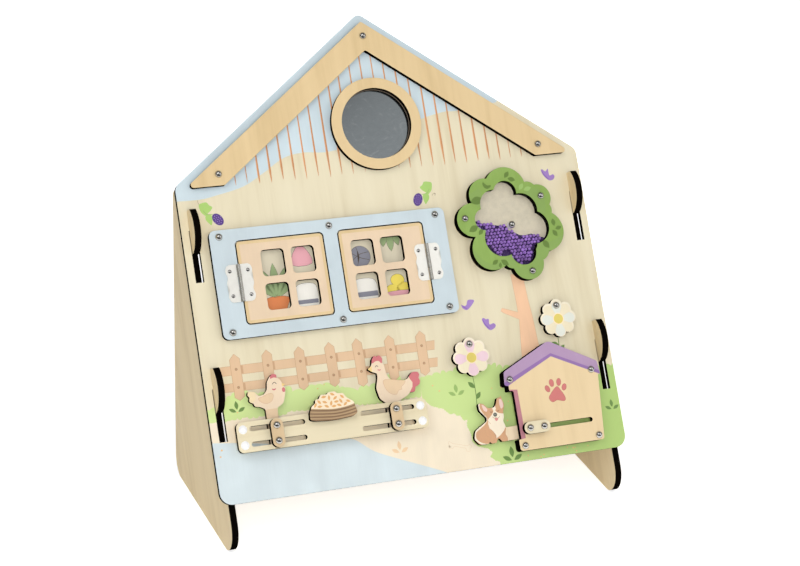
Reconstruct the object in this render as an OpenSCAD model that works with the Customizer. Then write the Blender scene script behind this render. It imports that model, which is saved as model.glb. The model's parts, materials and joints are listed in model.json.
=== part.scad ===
// Wooden busy board: a house-shaped play board hung on two hooked side panels.
// On the board, u runs across from its centre line, v runs up it from its lower edge,
// and n stands out of its front face. All sizes are in millimetres.

/* [House board] */
// Width of the board
board_w = 420; // [412:1:480]
// Height of the eaves, measured up the board
eave_v = 307.5; // [304:0.5:340]
// Rise of the roof from the eaves to the ridge
roof_rise = 158.5; // [150:0.5:190]
// Thickness of the board
board_t = 6; // [5:0.1:8]
// Lean of the board from upright, in degrees
lean = 30; // [20:1:35]
// Corner radius at the ridge
ridge_r = 7; // [2:0.5:12]
// Corner radius at the eaves
eave_r = 10; // [2:0.5:14]
// Corner radius at the lower corners
base_r = 12; // [2:0.5:20]
// Thickness of the plywood plates on the board
plate_t = 6; // [5:0.1:7]

/* [Stand] */
// Height of the board's lower front edge above the floor
floor_drop = 52.6; // [45:0.1:80]
// Thickness of a side panel
panel_t = 6.5; // [5:0.1:7]
// Angle by which each side panel turns outward towards the rear, in degrees
panel_splay = 2; // [0:0.5:3]
// Distance of the upright rear edge behind the board's lower front edge
panel_depth = 191.5; // [185:0.5:220]
// Height of a side panel above the floor
panel_h = 305; // [290:1:310]
// Radius of the rounded foot at the front
toe_r = 22.5; // [10:0.5:30]
// Radius of the rounded heel
heel_r = 19; // [5:0.5:40]
// Radius of the side panel's upper corners
panel_top_r = 8; // [2:0.5:14]
// Gap between the board and the side panel's edge and hooks
board_gap = 0.15; // [0.05:0.05:0.4]

/* [Hooks and slots] */
// Distance of a slot's centre line from the board's side edge
slot_inset = 11.2; // [10:0.1:14]
// Width of a slot
slot_w = 8.2; // [7.8:0.1:9]
// Length of a slot
slot_l = 50.7; // [48:0.1:54]
// Lower end of the lower slot, measured up the board
lower_slot_v = 59.4; // [56:0.1:64]
// Lower end of the upper slot, measured up the board
upper_slot_v = 213; // [205:0.5:225]
// Height of a hook's neck
neck_h = 22.3; // [18:0.1:26]
// Gap between a neck and the upper end of its slot
neck_gap = 0.2; // [0.1:0.05:0.5]
// Radius of a hook's rounded front
hook_r = 24; // [23:0.5:26]
// Depth of the hook's arc centre behind the board's front face
hook_set_back = 5.5; // [4:0.1:8]
// Height of a hook's cut-off top above its slot's lower end
hook_top = 70; // [66:0.5:73]

/* [Roof trim] */
// Distance of the trim from the roof's edge
trim_inset = 8; // [4:0.5:14]
// Width of the trim
trim_w = 23.6; // [16:0.2:26]
// Distance of the trim's lower ends below the eaves
trim_drop = 3.6; // [0:0.1:6]
// Distance of the trim's lower bolts from the board's side edges
trim_bolt_u = 43; // [38:1:60]

/* [Mirror] */
// Distance of the mirror's centre below the ridge
mirror_drop = 114.7; // [108:0.1:120]
// Outer radius of the ring round the mirror
ring_r = 46.5; // [42:0.5:50]
// Inner radius of the ring
ring_hole_r = 36; // [34:0.5:39]
// Radius of the mirror and of its hole in the board
mirror_r = 35.2; // [30:0.2:36]
// Thickness of the mirror
mirror_t = 3; // [2:0.1:4]
// Radius of the plate behind the mirror
backer_r = 46; // [40:0.5:50]
// Thickness of the plate behind the mirror
backer_t = 3; // [2:0.5:4]

/* [Window] */
// Distance of the window frame from the board's left edge
window_margin = 24.5; // [23:0.1:28]
// Width of the window frame
window_w = 240; // [236:0.5:246]
// Height of the window frame
window_h = 106; // [100:0.5:110]
// Lower edge of the window frame, measured up the board
window_v = 154.5; // [150:0.5:160]
// Width of one window opening
opening_w = 89; // [84:0.5:94]
// Height of the window openings
opening_h = 82.4; // [76:0.2:88]
// Width of the bar between the openings
mullion_w = 14; // [10:0.5:18]
// Corner radius of the window frame
window_r = 6; // [1:0.5:10]
// Corner radius of the openings
opening_r = 4.5; // [1:0.5:8]
// Distance of the frame's bolts from its sides
window_bolt_u = 9.7; // [8:0.1:12]
// Distance of the frame's bolts from its upper and lower edges
window_bolt_v = 6.5; // [5:0.1:7]

/* [Window doors] */
// Gap round a door in its opening
door_gap = 1.25; // [0.8:0.05:2]
// Corner radius of a door
door_r = 3.5; // [1:0.5:6]
// Width of one pane
pane_w = 23.3; // [18:0.1:26]
// Height of one pane
pane_h = 26; // [20:0.1:30]
// Width of the bars between the panes
pane_gap = 7; // [5:0.1:9]
// Corner radius of a pane
pane_r = 4; // [1:0.5:6]
// Distance of the panes' centre from the door's centre, away from the hinge
pane_shift = 5.9; // [2:0.1:7]

/* [Hinges] */
// Length of a hinge
hinge_l = 36.5; // [30:0.5:42]
// Width of one hinge leaf from the pin's axis
leaf_w = 12.75; // [11:0.25:14]
// Thickness of a leaf
leaf_t = 0.8; // [0.6:0.1:1.2]
// Outer radius of the knuckles
knuckle_r = 1.7; // [1.5:0.1:2]
// Radius of the hinge pin
hinge_pin_r = 0.8; // [0.6:0.05:1]
// Distance of a hinge screw from the pin's axis
hinge_screw_u = 9; // [7:0.1:9.4]
// Distance of a hinge screw from the hinge's middle
hinge_screw_v = 12; // [9:0.5:14]

/* [Bolts] */
// Radius of a bolt's shank
bolt_r = 2; // [1.5:0.1:2.2]
// Radius of a bolt's domed head
head_r = 3.7; // [3:0.1:4]
// Height of a bolt's domed head
head_h = 3; // [2:0.1:3.5]
// Width of a nut across its flats
nut_flats = 7; // [6:0.1:8]
// Thickness of a nut
nut_t = 3.2; // [2:0.1:4]
// Gap beside each face of a piece that moves
play = 0.2; // [0.1:0.05:0.3]
// Gap round a shank that something turns on
bore_gap = 0.05; // [0.02:0.01:0.1]

/* [Bead crown] */
// Gap between the window frame and the circle that the crown sweeps
crown_clear = 10.5; // [6:0.1:11]
// Height of the crown's pivot, measured up the board
crown_v = 235.4; // [235:0.1:240]
// Thickness of the crown's back sheet
crown_back_t = 1.2; // [0.8:0.1:2]
// Depth of the space for the beads
bead_space = 3.8; // [3.6:0.1:5]
// Thickness of the clear window over the beads
crown_window_t = 1; // [0.8:0.1:1.5]
// Thickness of the crown's front ring
crown_front_t = 3; // [2:0.1:4]
// Radius of a bead
bead_r = 1.75; // [1.2:0.05:1.75]
// Outer radius of the sleeve round the pivot
hub_r = 3.6; // [3:0.1:5]

/* [Flowers] */
// Place of the pink flower's pivot, from the board's right side and lower edge
pink_pivot = [151.7, 121.6]; // [50:0.1:160]
// Place of the white flower's pivot, from the board's right side and lower edge
white_pivot = [53.3, 149]; // [50:0.1:160]
// Number of scallops round a flower
scallops = 8; // [7:1:10]
// Radius of a scallop
scallop_r = 6.4; // [6:0.1:6.8]
// Distance of a scallop's centre from the flower's centre
scallop_pitch_r = 12.8; // [12:0.1:13.2]

/* [Feeding rail] */
// Distance of the rail from the board's left edge
rail_margin = 21.8; // [19:0.1:24]
// Width of the rail
rail_w = 190.5; // [186:0.5:196]
// Height of the rail plate
rail_h = 28.8; // [28:0.1:34]
// Lower edge of the rail, measured up the board
rail_v = 45.8; // [40:0.1:50]
// Corner radius of the rail
rail_r = 5; // [1:0.5:8]
// Length of a slot in the rail
rail_slot_l = 54.8; // [50:0.2:58]
// Distance of the slots' middle from the rail's middle
rail_slot_u = 55.1; // [53:0.1:57]
// Width of a slot in a rail
rail_slot_w = 4.6; // [4.5:0.05:5]
// Gap behind the rail that the figures slide in
rail_gap = 6.4; // [6.4:0.1:8]
// Distance of a rail spacer from the rail's end
spacer_inset = 6.4; // [5.5:0.1:7]
// Distance between the two rows of rail spacers
spacer_pitch = 15; // [13:0.1:17]
// Radius of a rail spacer
spacer_r = 4.5; // [3.5:0.1:5]
// Radius of the cap over a rail bolt
cap_r = 4.2; // [4:0.1:4.5]
// Height of the cap over a rail bolt
cap_h = 2; // [1.8:0.1:3]

/* [Sliding figures] */
// Thickness of a sliding figure
figure_t = 5.6; // [4.5:0.1:5.7]
// Width of the stem that joins a hen to its knob
stem_w = 11; // [10:0.1:11.2]
// Width of a knob
knob_w = 12; // [9:0.1:13]
// Length of a knob
knob_l = 27.5; // [24:0.1:29]
// Distance between a knob's two bolts
knob_pitch = 14.8; // [13:0.1:16]
// Distance of the left hen from the middle of its slots
left_hen_rest = -2.1; // [-10:0.1:10]
// Distance of the right hen from the middle of its slots
right_hen_rest = 7.2; // [-10:0.1:10]

/* [Kennel] */
// Distance of the kennel's middle from the board's right edge
kennel_margin = 71.5; // [66:0.1:74]
// Lower edge of the kennel, measured up the board
kennel_v = 9.5; // [6:0.1:14]
// Half the width of the kennel's wall
kennel_half_w = 44.5; // [43:0.1:46]
// Height of the kennel's eaves above its lower edge
kennel_eave = 66; // [62:0.5:68]
// Height of the kennel's ridge above its lower edge
kennel_h = 104.5; // [100:0.5:112]
// Height of the board-side strip at the kennel's foot
plinth_h = 11.5; // [8:0.1:11.6]
// Height of the slot's middle above the kennel's lower edge
kennel_slot_v = 21.3; // [20:0.1:24]
// Length of the kennel's slot
kennel_slot_l = 72; // [68:0.5:74]
// Distance of the kennel's slot from the kennel's middle, to the left
kennel_slot_u = 2; // [0:0.1:4]

/* [Hidden] */

$fn = 64;

// A cut runs past a face by this much
eps = 1;
// Largest turn between two points of a rounded corner, in degrees
arc_step = 12;
// A bolt stands this far out of its nut
bolt_tail = 1;
// Height of the end of a bolt that runs through the board
through_tip = -board_t - nut_t - bolt_tail;

// Colours
ply_side = "#d6c4a4";
ply_board = "#e8dec0";
ply_trim = "#e8cd9b";
metal = "#c4c6c8";

// Roof and board outline
ridge_v = eave_v + roof_rise;
roof_slope = roof_rise / (board_w / 2);
roof_angle = atan(roof_slope);
ridge_top_v = ridge_v - ridge_r / cos(roof_angle) + ridge_r;
right_edge = board_w / 2;
left_edge = -board_w / 2;

// Side panel: b is the distance back from the board's lower front edge, h the height above it
toe_corner_h = -floor_drop;
edge_depth = board_t + board_gap;
function edge_back(h) = h * tan(lean) + edge_depth / cos(lean);
toe_front = edge_back(toe_corner_h) + toe_r / tan((90 - lean) / 2) - toe_r;
ridge_rear = ridge_top_v * sin(lean) + board_t * cos(lean);
board_y = -(toe_front + ridge_rear) / 2;
slot_u = right_edge - slot_inset;
slot_vs = [lower_slot_v, upper_slot_v];
panel_up = panel_h - floor_drop;
// The neck runs into the panel and the hook by this much
neck_root = 1;
// The sole is cut off this far up, so that a splayed foot still lies flat
sole_cut = 0.3;
// The hook's arc starts at the neck's lower edge, and its centre is this far above the neck
hook_centre_d = hook_set_back + board_gap;
hook_rise = sqrt(hook_r * hook_r - hook_centre_d * hook_centre_d) - neck_h;

// Layers on the board, as heights above its front face
rail_front = rail_gap + plate_t;
kennel_gap = rail_gap;
kennel_front_n = kennel_gap + plate_t;
figure_n = (rail_gap - figure_t) / 2;

// Roof trim
trim_top_v = ridge_v - trim_inset / cos(roof_angle);
trim_low_v = trim_top_v - trim_w / cos(roof_angle);
trim_end_v = eave_v - trim_drop;
trim_mid_v = (trim_top_v + trim_low_v) / 2;
trim_end_u = right_edge - trim_bolt_u;
trim_bolts = [for (i = [-1:1]) [i * trim_end_u, trim_mid_v - abs(i) * trim_end_u * roof_slope]];
// Corner radius of the trim, and of its pointed ends
trim_r = 2;
trim_tip_r = 3;

// Mirror
mirror_at = [0, ridge_v - mirror_drop];

// Window frame, openings and doors
window_at = [left_edge + window_margin + window_w / 2, window_v + window_h / 2];
opening_u = (opening_w + mullion_w) / 2;
door_w = opening_w - 2 * door_gap;
door_h = opening_h - 2 * door_gap;
pane_u = (pane_w + pane_gap) / 2;
pane_v = (pane_h + pane_gap) / 2;
window_bolts = [
    for (i = [-1:1], j = [-1, 1])
        window_at + [i * (window_w / 2 - window_bolt_u), j * (window_h / 2 - window_bolt_v)]
];

// Hinges: side is -1 for the left door and 1 for the right
hinge_n = plate_t + knuckle_r + play;
knuckle_l = hinge_l / 3;
hinge_screw_r = 1;
hinge_screw_l = 4.5;
hinge_head_r = 1.9;
hinge_head_h = 0.8;
knuckle_gap = 0.3;
function hinge_at(side) = window_at + [side * (opening_u + opening_w / 2), 0];

// Crown: each lobe is [u, v, radius] from the pivot
crown_lobes = [
    [-1.9, 36.4, 22.1], [21.5, 31.5, 10], [31.5, 23.8, 13.8], [34, 10.5, 10.3],
    [32.5, -10.6, 20.8], [22, -28, 12.3], [9.5, -41.1, 16.7], [-6.5, -36, 8.9],
    [-26, -23.2, 21.1], [-41.2, 8.2, 17.1], [-24.5, 32, 17], [0, 0, 30]
];
crown_hole_lobes = [
    [-3, 32.4, 12.2], [11.2, 13, 17.5], [21.2, -5.5, 17.1], [13.5, -22, 9],
    [6.6, -28.8, 13.6], [-13.3, -12.9, 18.8], [-28.4, 7.5, 11.2], [-16.1, 21.4, 15.3],
    [-7, 6, 14]
];
crown_bolt_points = [[-49.6, 10.6], [34.8, 25.8], [12.6, -49.2]];
crown_reach = max([for (lobe = crown_lobes) norm([lobe.x, lobe.y]) + lobe.z]);
crown_at = [window_at.x + window_w / 2 + crown_clear + crown_reach, crown_v];
washer_t = 0.5;
washer_r = 4.5;
crown_n = washer_t + play;
bead_n = crown_n + crown_back_t;
crown_window_n = bead_n + bead_space;
crown_front_n = crown_window_n + crown_window_t;
crown_top_n = crown_front_n + crown_front_t;

// Beads lie in staggered rows at a slant, under a surface that falls to the right
bead_gap = 0.3;
bead_pitch = 2 * bead_r + 0.2;
bead_row = bead_pitch * sqrt(3) / 2;
bead_turn = 17;
bead_level = -3;
bead_fall = 0.33;
bead_cells = ceil(crown_reach / bead_row);
function inside_crown(p, wall) =
    max([for (lobe = crown_hole_lobes) lobe.z - norm(p - [lobe.x, lobe.y])]) > wall;
bead_grid = [
    for (j = [-bead_cells:bead_cells], i = [-bead_cells:bead_cells])
        turned([(i + (j % 2 == 0 ? 0 : 0.5)) * bead_pitch, j * bead_row], bead_turn)
];
bead_points = [
    for (p = bead_grid)
        if (inside_crown(p, bead_r + bead_gap) && norm(p) > hub_r + bead_r + bead_gap
            && p.y < bead_level - bead_fall * p.x)
            p
];

// Flowers hang from their pivots
pink_at = [right_edge - pink_pivot.x, pink_pivot.y];
white_at = [right_edge - white_pivot.x, white_pivot.y];
flower_n = washer_t + play;

// Feeding rail
rail_at = [left_edge + rail_margin + rail_w / 2, rail_v + rail_h / 2];
rail_bolt_points = [
    for (i = [-1, 1], j = [-1, 1])
        rail_at + [i * (rail_w / 2 - spacer_inset), j * spacer_pitch / 2]
];
left_hen_at = rail_at + [left_hen_rest - rail_slot_u, 0];
right_hen_at = rail_at + [right_hen_rest + rail_slot_u, 0];
knob_n = rail_front + play;
cap_head_r = cap_r - 1.2;
cap_head_h = 0.4 * cap_h;
cap_clear = 0.1;

// Kennel and dog: points are taken from the middle of the kennel's lower edge
kennel_at = [right_edge - kennel_margin, kennel_v];
// Reach of the eaves, of the step under them and of the foot beyond the wall
eave_reach = 8.5;
right_eave_reach = 6;
cornice_reach = 4.2;
plinth_reach = 2.6;
// Height of the roof's cut ends, and their slant
eave_t = 13.5;
roof_end_slant = 1.5;
// The left wall meets the step under the roof this far below the eaves
soffit_drop = 6;
kennel_roof_low = kennel_eave - soffit_drop;
// The right wall leaves the eaves this far out, and its foot is set in
right_wall_out = 3.5;
right_wall_in = 1.3;
// Corner radii of the kennel
kennel_r = 3;
kennel_inner_r = 1;
kennel_ridge_r = 8;
kennel_outline = [
    [-kennel_half_w - plinth_reach, 0, kennel_r],
    [-kennel_half_w - plinth_reach, plinth_h, kennel_inner_r],
    [-kennel_half_w, plinth_h, kennel_inner_r],
    [-kennel_half_w, kennel_roof_low, 2 * kennel_inner_r],
    [-kennel_half_w - cornice_reach, kennel_roof_low, kennel_inner_r],
    [-kennel_half_w - cornice_reach, kennel_eave - kennel_inner_r, kennel_inner_r],
    [-kennel_half_w - eave_reach, kennel_eave, kennel_r],
    [-kennel_half_w - eave_reach + roof_end_slant, kennel_eave + eave_t, kennel_r],
    [0, kennel_h, kennel_ridge_r],
    [kennel_half_w + right_eave_reach - roof_end_slant, kennel_eave + eave_t - 1, kennel_r],
    [kennel_half_w + right_eave_reach, kennel_eave - 1, kennel_inner_r],
    [kennel_half_w + right_wall_out, kennel_eave - 1, kennel_inner_r],
    [kennel_half_w - right_wall_in, 0, kennel_r]
];
// Places of the kennel's bolts: out of the wall's line, and above the eaves or the lower edge
left_roof_bolt_u = 1.9;
right_roof_bolt_u = -3.1;
left_roof_bolt_v = 5.5;
right_roof_bolt_v = 4.6;
left_foot_bolt_u = -3.2;
right_foot_bolt_u = -6.4;
foot_bolt_v = 5;
kennel_bolt_points = [
    kennel_at + [-kennel_half_w - left_roof_bolt_u, kennel_eave + left_roof_bolt_v],
    kennel_at + [kennel_half_w + right_roof_bolt_u, kennel_eave + right_roof_bolt_v],
    kennel_at + [-kennel_half_w - left_foot_bolt_u, foot_bolt_v],
    kennel_at + [kennel_half_w + right_foot_bolt_u, foot_bolt_v]
];
kennel_slot_at = kennel_at + [-kennel_slot_u, kennel_slot_v];
// Distance of the dog's knob from the slot's left end
dog_knob_inset = 10;
dog_at = kennel_slot_at + [dog_knob_inset - kennel_slot_l / 2, 0];
dog_knob_n = kennel_front_n + play;
// Lower and upper edge of the dog's bar, and its end, from the knob's middle
dog_bar_low = -8.2;
dog_bar_high = 5.5;
dog_bar_end = 13.5;

// Figure outlines: [u, v, corner radius] from the middle of the figure's knob
hen_left_outline = [
    [-stem_w / 2, -13, 2], [stem_w / 2, -13, 2], [stem_w / 2 + 0.8, 24.2, 2],
    [13, 28, 5], [16, 37, 6], [16.9, 42.4, 2], [14.8, 44.4, 0.6], [18, 45.5, 0.8],
    [14.6, 46.8, 1], [12.7, 50.8, 4], [9.8, 53.2, 1], [9.9, 56, 1.5], [6, 57, 1.5],
    [2.8, 54.4, 1], [-0.4, 49.4, 5], [-1.4, 42.4, 5], [-4.8, 38.6, 4], [-9.8, 37.4, 2],
    [-13.8, 42, 3], [-20.2, 43.2, 1.5], [-20.9, 39.4, 1], [-19.2, 37, 0.6],
    [-20.4, 33.2, 2.5], [-16.2, 31, 0.6], [-15.4, 28.2, 1.8], [-10.6, 27.2, 0.6],
    [-stem_w / 2, 24.6, 3]
];
hen_right_outline = [
    [-stem_w / 2, -13, 2], [stem_w / 2, -13, 2], [stem_w / 2, 14.2, 1], [9, 15.4, 4],
    [17, 19, 6], [20.4, 21.8, 0.6], [25.6, 22, 1.6], [26.8, 26.2, 0.6], [31.4, 28.6, 1.2],
    [32.6, 31.6, 1], [31.4, 34.9, 0.6], [32.8, 38, 1.5], [31.6, 40.8, 2], [25.6, 41.4, 4],
    [20, 35.6, 3], [16.8, 34.3, 2], [3, 36, 5], [-0.6, 42, 8], [-1.5, 52, 3],
    [-2.9, 54.4, 0.6], [-2.2, 58.4, 2], [-4.9, 62, 1.4], [-7.6, 60.4, 0.6],
    [-10, 62, 1.6], [-13, 58.2, 1.4], [-13.8, 54, 2], [-15, 51.8, 1.5],
    [-18.6, 49.4, 0.6], [-14.8, 46.4, 1.5], [-9.9, 44.2, 1], [-10, 40, 4],
    [-13, 30, 9], [-10.8, 19.4, 7], [-stem_w / 2, 14.8, 3]
];
dog_outline = [
    [dog_bar_end, dog_bar_low, 1.5], [dog_bar_end, dog_bar_high, 1.5],
    [-28, 4.4, 0.8], [-30, 11.2, 2], [-28.4, 15, 3], [-28.4, 20, 4],
    [-26.2, 27, 5], [-27.8, 34, 2.2], [-32.6, 34.4, 2.2], [-34.4, 28.8, 3],
    [-37, 25.4, 2.5], [-43.6, 25.3, 3], [-47.8, 30, 3], [-53.2, 31.8, 1.8],
    [-53, 24.2, 6], [-46.6, 16.2, 3], [-46.8, 13, 2.5], [-60.6, 5, 6],
    [-62.6, -3, 5], [-58, -9.2, 5], [-49, -9.4, 0.6], [-47, -7.4, 0.8],
    [-45.4, -9.4, 0.8], [-40.4, -9.3, 1.2], [-38.6, -5.6, 1], [-36.4, -5.6, 1],
    [-34.2, -9, 1]
];
// The bowl stands left of the rail's middle, its foot below the rail's upper edge
bowl_shift = 1;
bowl_drop = 9.6;
bowl_at = [rail_at.x - bowl_shift, rail_v + rail_h - bowl_drop];
bowl_outline = [
    [-23.2, 2.4, 2.5], [-22.6, 9, 3], [-20, 15, 4], [-16, 17.8, 0.8], [-15.6, 21, 1.5],
    [-12, 21.4, 0.8], [-9.6, 25.2, 2], [-3.8, 24.8, 1], [-1.6, 26.6, 2], [5, 26.9, 4],
    [6.8, 24.6, 1], [12.8, 24.2, 3], [15.4, 19.8, 1.5], [22, 15, 3], [23, 11, 1],
    [24.6, 4, 3], [19.5, 0.9, 5], [0, -0.6, 40], [-18, 1, 5]
];

// Rounded outlines
function unit(p) = p / norm(p);
function turned(p, a) = [p.x * cos(a) - p.y * sin(a), p.x * sin(a) + p.y * cos(a)];
function flat(p) = [p.x, p.y];

// The arc that replaces the corner p between its neighbours before and after
function corner_arc(before, p, after) =
    let (
        to_a = flat(before) - flat(p),
        to_b = flat(after) - flat(p),
        half = acos(unit(to_a) * unit(to_b)) / 2,
        reach = min(p.z / tan(half), 0.49 * min(norm(to_a), norm(to_b))),
        r = reach * tan(half),
        centre = flat(p) + unit(unit(to_a) + unit(to_b)) * r / sin(half),
        start = flat(p) + unit(to_a) * reach - centre,
        sweep = (180 - 2 * half) * (cross(to_a, to_b) > 0 ? -1 : 1),
        steps = ceil(abs(sweep) / arc_step)
    )
    [for (k = [0:steps]) centre + turned(start, sweep * k / steps)];

// An outline through points [x, y, corner radius]
function rounded(points) =
    let (n = len(points))
    [for (i = [0:n - 1])
        each corner_arc(points[(i + n - 1) % n], points[i], points[(i + 1) % n])];

module rounded_box(w, h, r) {
    polygon(rounded([[-w / 2, -h / 2, r], [w / 2, -h / 2, r], [w / 2, h / 2, r], [-w / 2, h / 2, r]]));
}

// Puts what is drawn flat, in u, v and n, on the leaning board
module on_board() {
    translate([0, board_y, floor_drop])
        rotate([90 - lean, 0, 0])
            children();
}

// A plate of the outline given, t thick, whose rear face is n above the board
module plate(n, t) {
    on_board()
        translate([0, 0, n])
            linear_extrude(t)
                children();
}

module holes(points, r) {
    for (p = points) {
        translate(p)
            circle(r);
    }
}

// Upper part of a ball, standing on its flat face
module dome(r, h) {
    ball_r = (r * r + h * h) / (2 * h);
    intersection() {
        translate([0, 0, h - ball_r])
            sphere(ball_r);
        cylinder(r = r + eps, h = h + eps);
    }
}

// Dome-headed bolts whose heads sit n above the board and whose shanks end at tip_n
module dome_bolts(points, n, tip_n, r = bolt_r, cap_r = head_r, cap_h = head_h) {
    on_board() {
        for (p = points) {
            translate([p.x, p.y, n])
                dome(cap_r, cap_h);
            translate([p.x, p.y, tip_n])
                cylinder(r = r, h = n - tip_n);
        }
    }
}

module nuts(points) {
    on_board() {
        for (p = points) {
            translate([p.x, p.y, -board_t - nut_t])
                difference() {
                    cylinder(d = nut_flats / cos(30), h = nut_t, $fn = 6);
                    translate([0, 0, -eps])
                        cylinder(r = bolt_r, h = nut_t + 2 * eps);
                }
        }
    }
}

// Stand

// Side view of a hook: x is the depth behind the board's front face, y runs up from the slot
module hook_profile() {
    intersection() {
        translate([hook_set_back, slot_l - neck_gap + hook_rise])
            circle(hook_r);
        translate([-hook_r, 0])
            square([hook_r - board_gap, hook_top]);
    }
    translate([-board_gap - neck_root, slot_l - neck_gap - neck_h])
        square([board_t + 2 * board_gap + 2 * neck_root, neck_h]);
}

module panel_profile() {
    // The sole is cut level at the floor
    sole_h = toe_corner_h - sole_cut;
    polygon(rounded([
        [panel_depth, sole_h, heel_r],
        [panel_depth, panel_up, panel_top_r],
        [edge_back(panel_up), panel_up, panel_top_r],
        [edge_back(sole_h), sole_h, toe_r]
    ]));
    for (v = slot_vs) {
        rotate(-lean)
            translate([0, v])
                hook_profile();
    }
}

module side_panel(side) {
    color(ply_side)
        difference() {
            on_board()
                translate([side * slot_u, 0, -board_t / 2])
                    rotate([0, -side * panel_splay, 0])
                        translate([0, 0, board_t / 2])
                            rotate([lean - 90, 0, 0])
                                rotate([90, 0, 90])
                                    linear_extrude(panel_t, center = true)
                                        panel_profile();
            translate([-board_w, -board_w, -floor_drop])
                cube([2 * board_w, 2 * board_w, floor_drop]);
        }
}

module side_panel_left() {
    side_panel(-1);
}

module side_panel_right() {
    side_panel(1);
}

// House board

module front_panel() {
    color(ply_board)
        plate(-board_t, board_t)
            difference() {
                polygon(rounded([
                    [left_edge, 0, base_r], [right_edge, 0, base_r], [right_edge, eave_v, eave_r],
                    [0, ridge_v, ridge_r], [left_edge, eave_v, eave_r]
                ]));
                for (side = [-1, 1], v = slot_vs) {
                    translate([side * slot_u - slot_w / 2, v])
                        square([slot_w, slot_l]);
                }
                translate(mirror_at)
                    circle(mirror_r);
                holes(concat(trim_bolts, window_bolts, rail_bolt_points, kennel_bolt_points), bolt_r);
                holes([crown_at, pink_at, white_at], bolt_r);
            }
}

module roof_trim() {
    tip_u = (trim_top_v - trim_end_v) / roof_slope;
    inner_u = (trim_low_v - trim_end_v) / roof_slope;
    color(ply_trim)
        plate(0, plate_t)
            difference() {
                polygon(rounded([
                    [0, trim_top_v, trim_r], [tip_u, trim_end_v, trim_tip_r],
                    [inner_u, trim_end_v, trim_r], [0, trim_low_v, trim_r],
                    [-inner_u, trim_end_v, trim_r], [-tip_u, trim_end_v, trim_tip_r]
                ]));
                holes(trim_bolts, bolt_r);
            }
}

module roof_trim_bolts() {
    color(metal)
        dome_bolts(trim_bolts, plate_t, through_tip);
}

// Mirror

module mirror_ring() {
    color(ply_trim)
        plate(0, plate_t)
            translate(mirror_at)
                difference() {
                    circle(ring_r);
                    circle(ring_hole_r);
                }
}

module mirror_disc() {
    color("#8fa0a4")
        plate(-board_t, mirror_t)
            translate(mirror_at)
                circle(mirror_r);
}

module mirror_backer() {
    color(ply_side)
        plate(-board_t - backer_t, backer_t)
            translate(mirror_at)
                circle(backer_r);
}

// Window

module window_frame() {
    color("#cdd9de")
        difference() {
            plate(0, plate_t)
                difference() {
                    translate(window_at)
                        rounded_box(window_w, window_h, window_r);
                    for (side = [-1, 1]) {
                        translate(window_at + [side * opening_u, 0])
                            rounded_box(opening_w, opening_h, opening_r);
                    }
                    holes(window_bolts, bolt_r);
                }
            for (side = [-1, 1]) {
                hinge_screw_holes(side, side);
            }
        }
}

module window_frame_bolts() {
    color(metal)
        dome_bolts(window_bolts, plate_t, through_tip);
}

module window_door(side) {
    color("#eed7be")
        difference() {
            plate(play, plate_t - play)
                translate(window_at + [side * opening_u, 0])
                    difference() {
                        rounded_box(door_w, door_h, door_r);
                        for (i = [-1, 1], j = [-1, 1]) {
                            translate([i * pane_u - side * pane_shift, j * pane_v])
                                rounded_box(pane_w, pane_h, pane_r);
                        }
                    }
            hinge_screw_holes(side, -side);
        }
}

module window_door_left() {
    window_door(-1);
}

module window_door_right() {
    window_door(1);
}

// Hinges: way is 1 for the leaf that points to the right of the pin

function hinge_screws(side, way) = [
    for (j = [-1, 1]) hinge_at(side) + [way * hinge_screw_u, j * hinge_screw_v]
];

module hinge_screw_holes(side, way) {
    on_board() {
        for (p = hinge_screws(side, way)) {
            translate([p.x, p.y, plate_t - hinge_screw_l])
                cylinder(r = hinge_screw_r, h = hinge_screw_l + leaf_t + eps);
        }
    }
}

// A leaf with a wavy outer edge, whose knuckles turn round the pin at the origin
module hinge_leaf(side, way, knuckles, bore_r) {
    wave_r = hinge_l / 7;
    tab_from = 0.9;
    plate_from = knuckle_r + knuckle_gap;
    color(metal)
        difference() {
            on_board() {
                translate([hinge_at(side).x, hinge_at(side).y, plate_t])
                    linear_extrude(leaf_t)
                        pointing(way) {
                            translate([plate_from, -hinge_l / 2])
                                square([leaf_w - wave_r - plate_from, hinge_l]);
                            for (j = [-1:1]) {
                                translate([leaf_w - wave_r, j * (hinge_l / 2 - wave_r)])
                                    circle(wave_r);
                            }
                            for (k = knuckles) {
                                translate([tab_from, knuckle_from(k)])
                                    square([plate_from - tab_from + eps, knuckle_l - knuckle_gap]);
                            }
                        }
                for (k = knuckles) {
                    translate([hinge_at(side).x, hinge_at(side).y + knuckle_from(k), hinge_n])
                        rotate([-90, 0, 0])
                            cylinder(r = knuckle_r, h = knuckle_l - knuckle_gap);
                }
            }
            on_board() {
                translate([hinge_at(side).x, hinge_at(side).y - hinge_l, hinge_n])
                    rotate([-90, 0, 0])
                        cylinder(r = bore_r, h = 2 * hinge_l);
            }
            hinge_screw_holes(side, way);
        }
}

// Knuckles are counted -1, 0 and 1 up the pin
function knuckle_from(k) = (k - 0.5) * knuckle_l + knuckle_gap / 2;

// Turns what points right to the way given
module pointing(way) {
    mirror([way > 0 ? 0 : 1, 0])
        children();
}

module hinge_pin(side) {
    color(metal)
        on_board()
            translate([hinge_at(side).x, hinge_at(side).y - hinge_l / 2, hinge_n])
                rotate([-90, 0, 0])
                    cylinder(r = hinge_pin_r, h = hinge_l);
}

module hinge_screw_set(side, way) {
    color(metal)
        dome_bolts(
            hinge_screws(side, way), plate_t + leaf_t, plate_t - hinge_screw_l,
            hinge_screw_r, hinge_head_r, hinge_head_h
        );
}

module hinge_left_frame_leaf() {
    hinge_leaf(-1, -1, [-1, 1], hinge_pin_r);
}

module hinge_left_door_leaf() {
    hinge_leaf(-1, 1, [0], hinge_pin_r + bore_gap);
}

module hinge_left_pin() {
    hinge_pin(-1);
}

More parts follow.
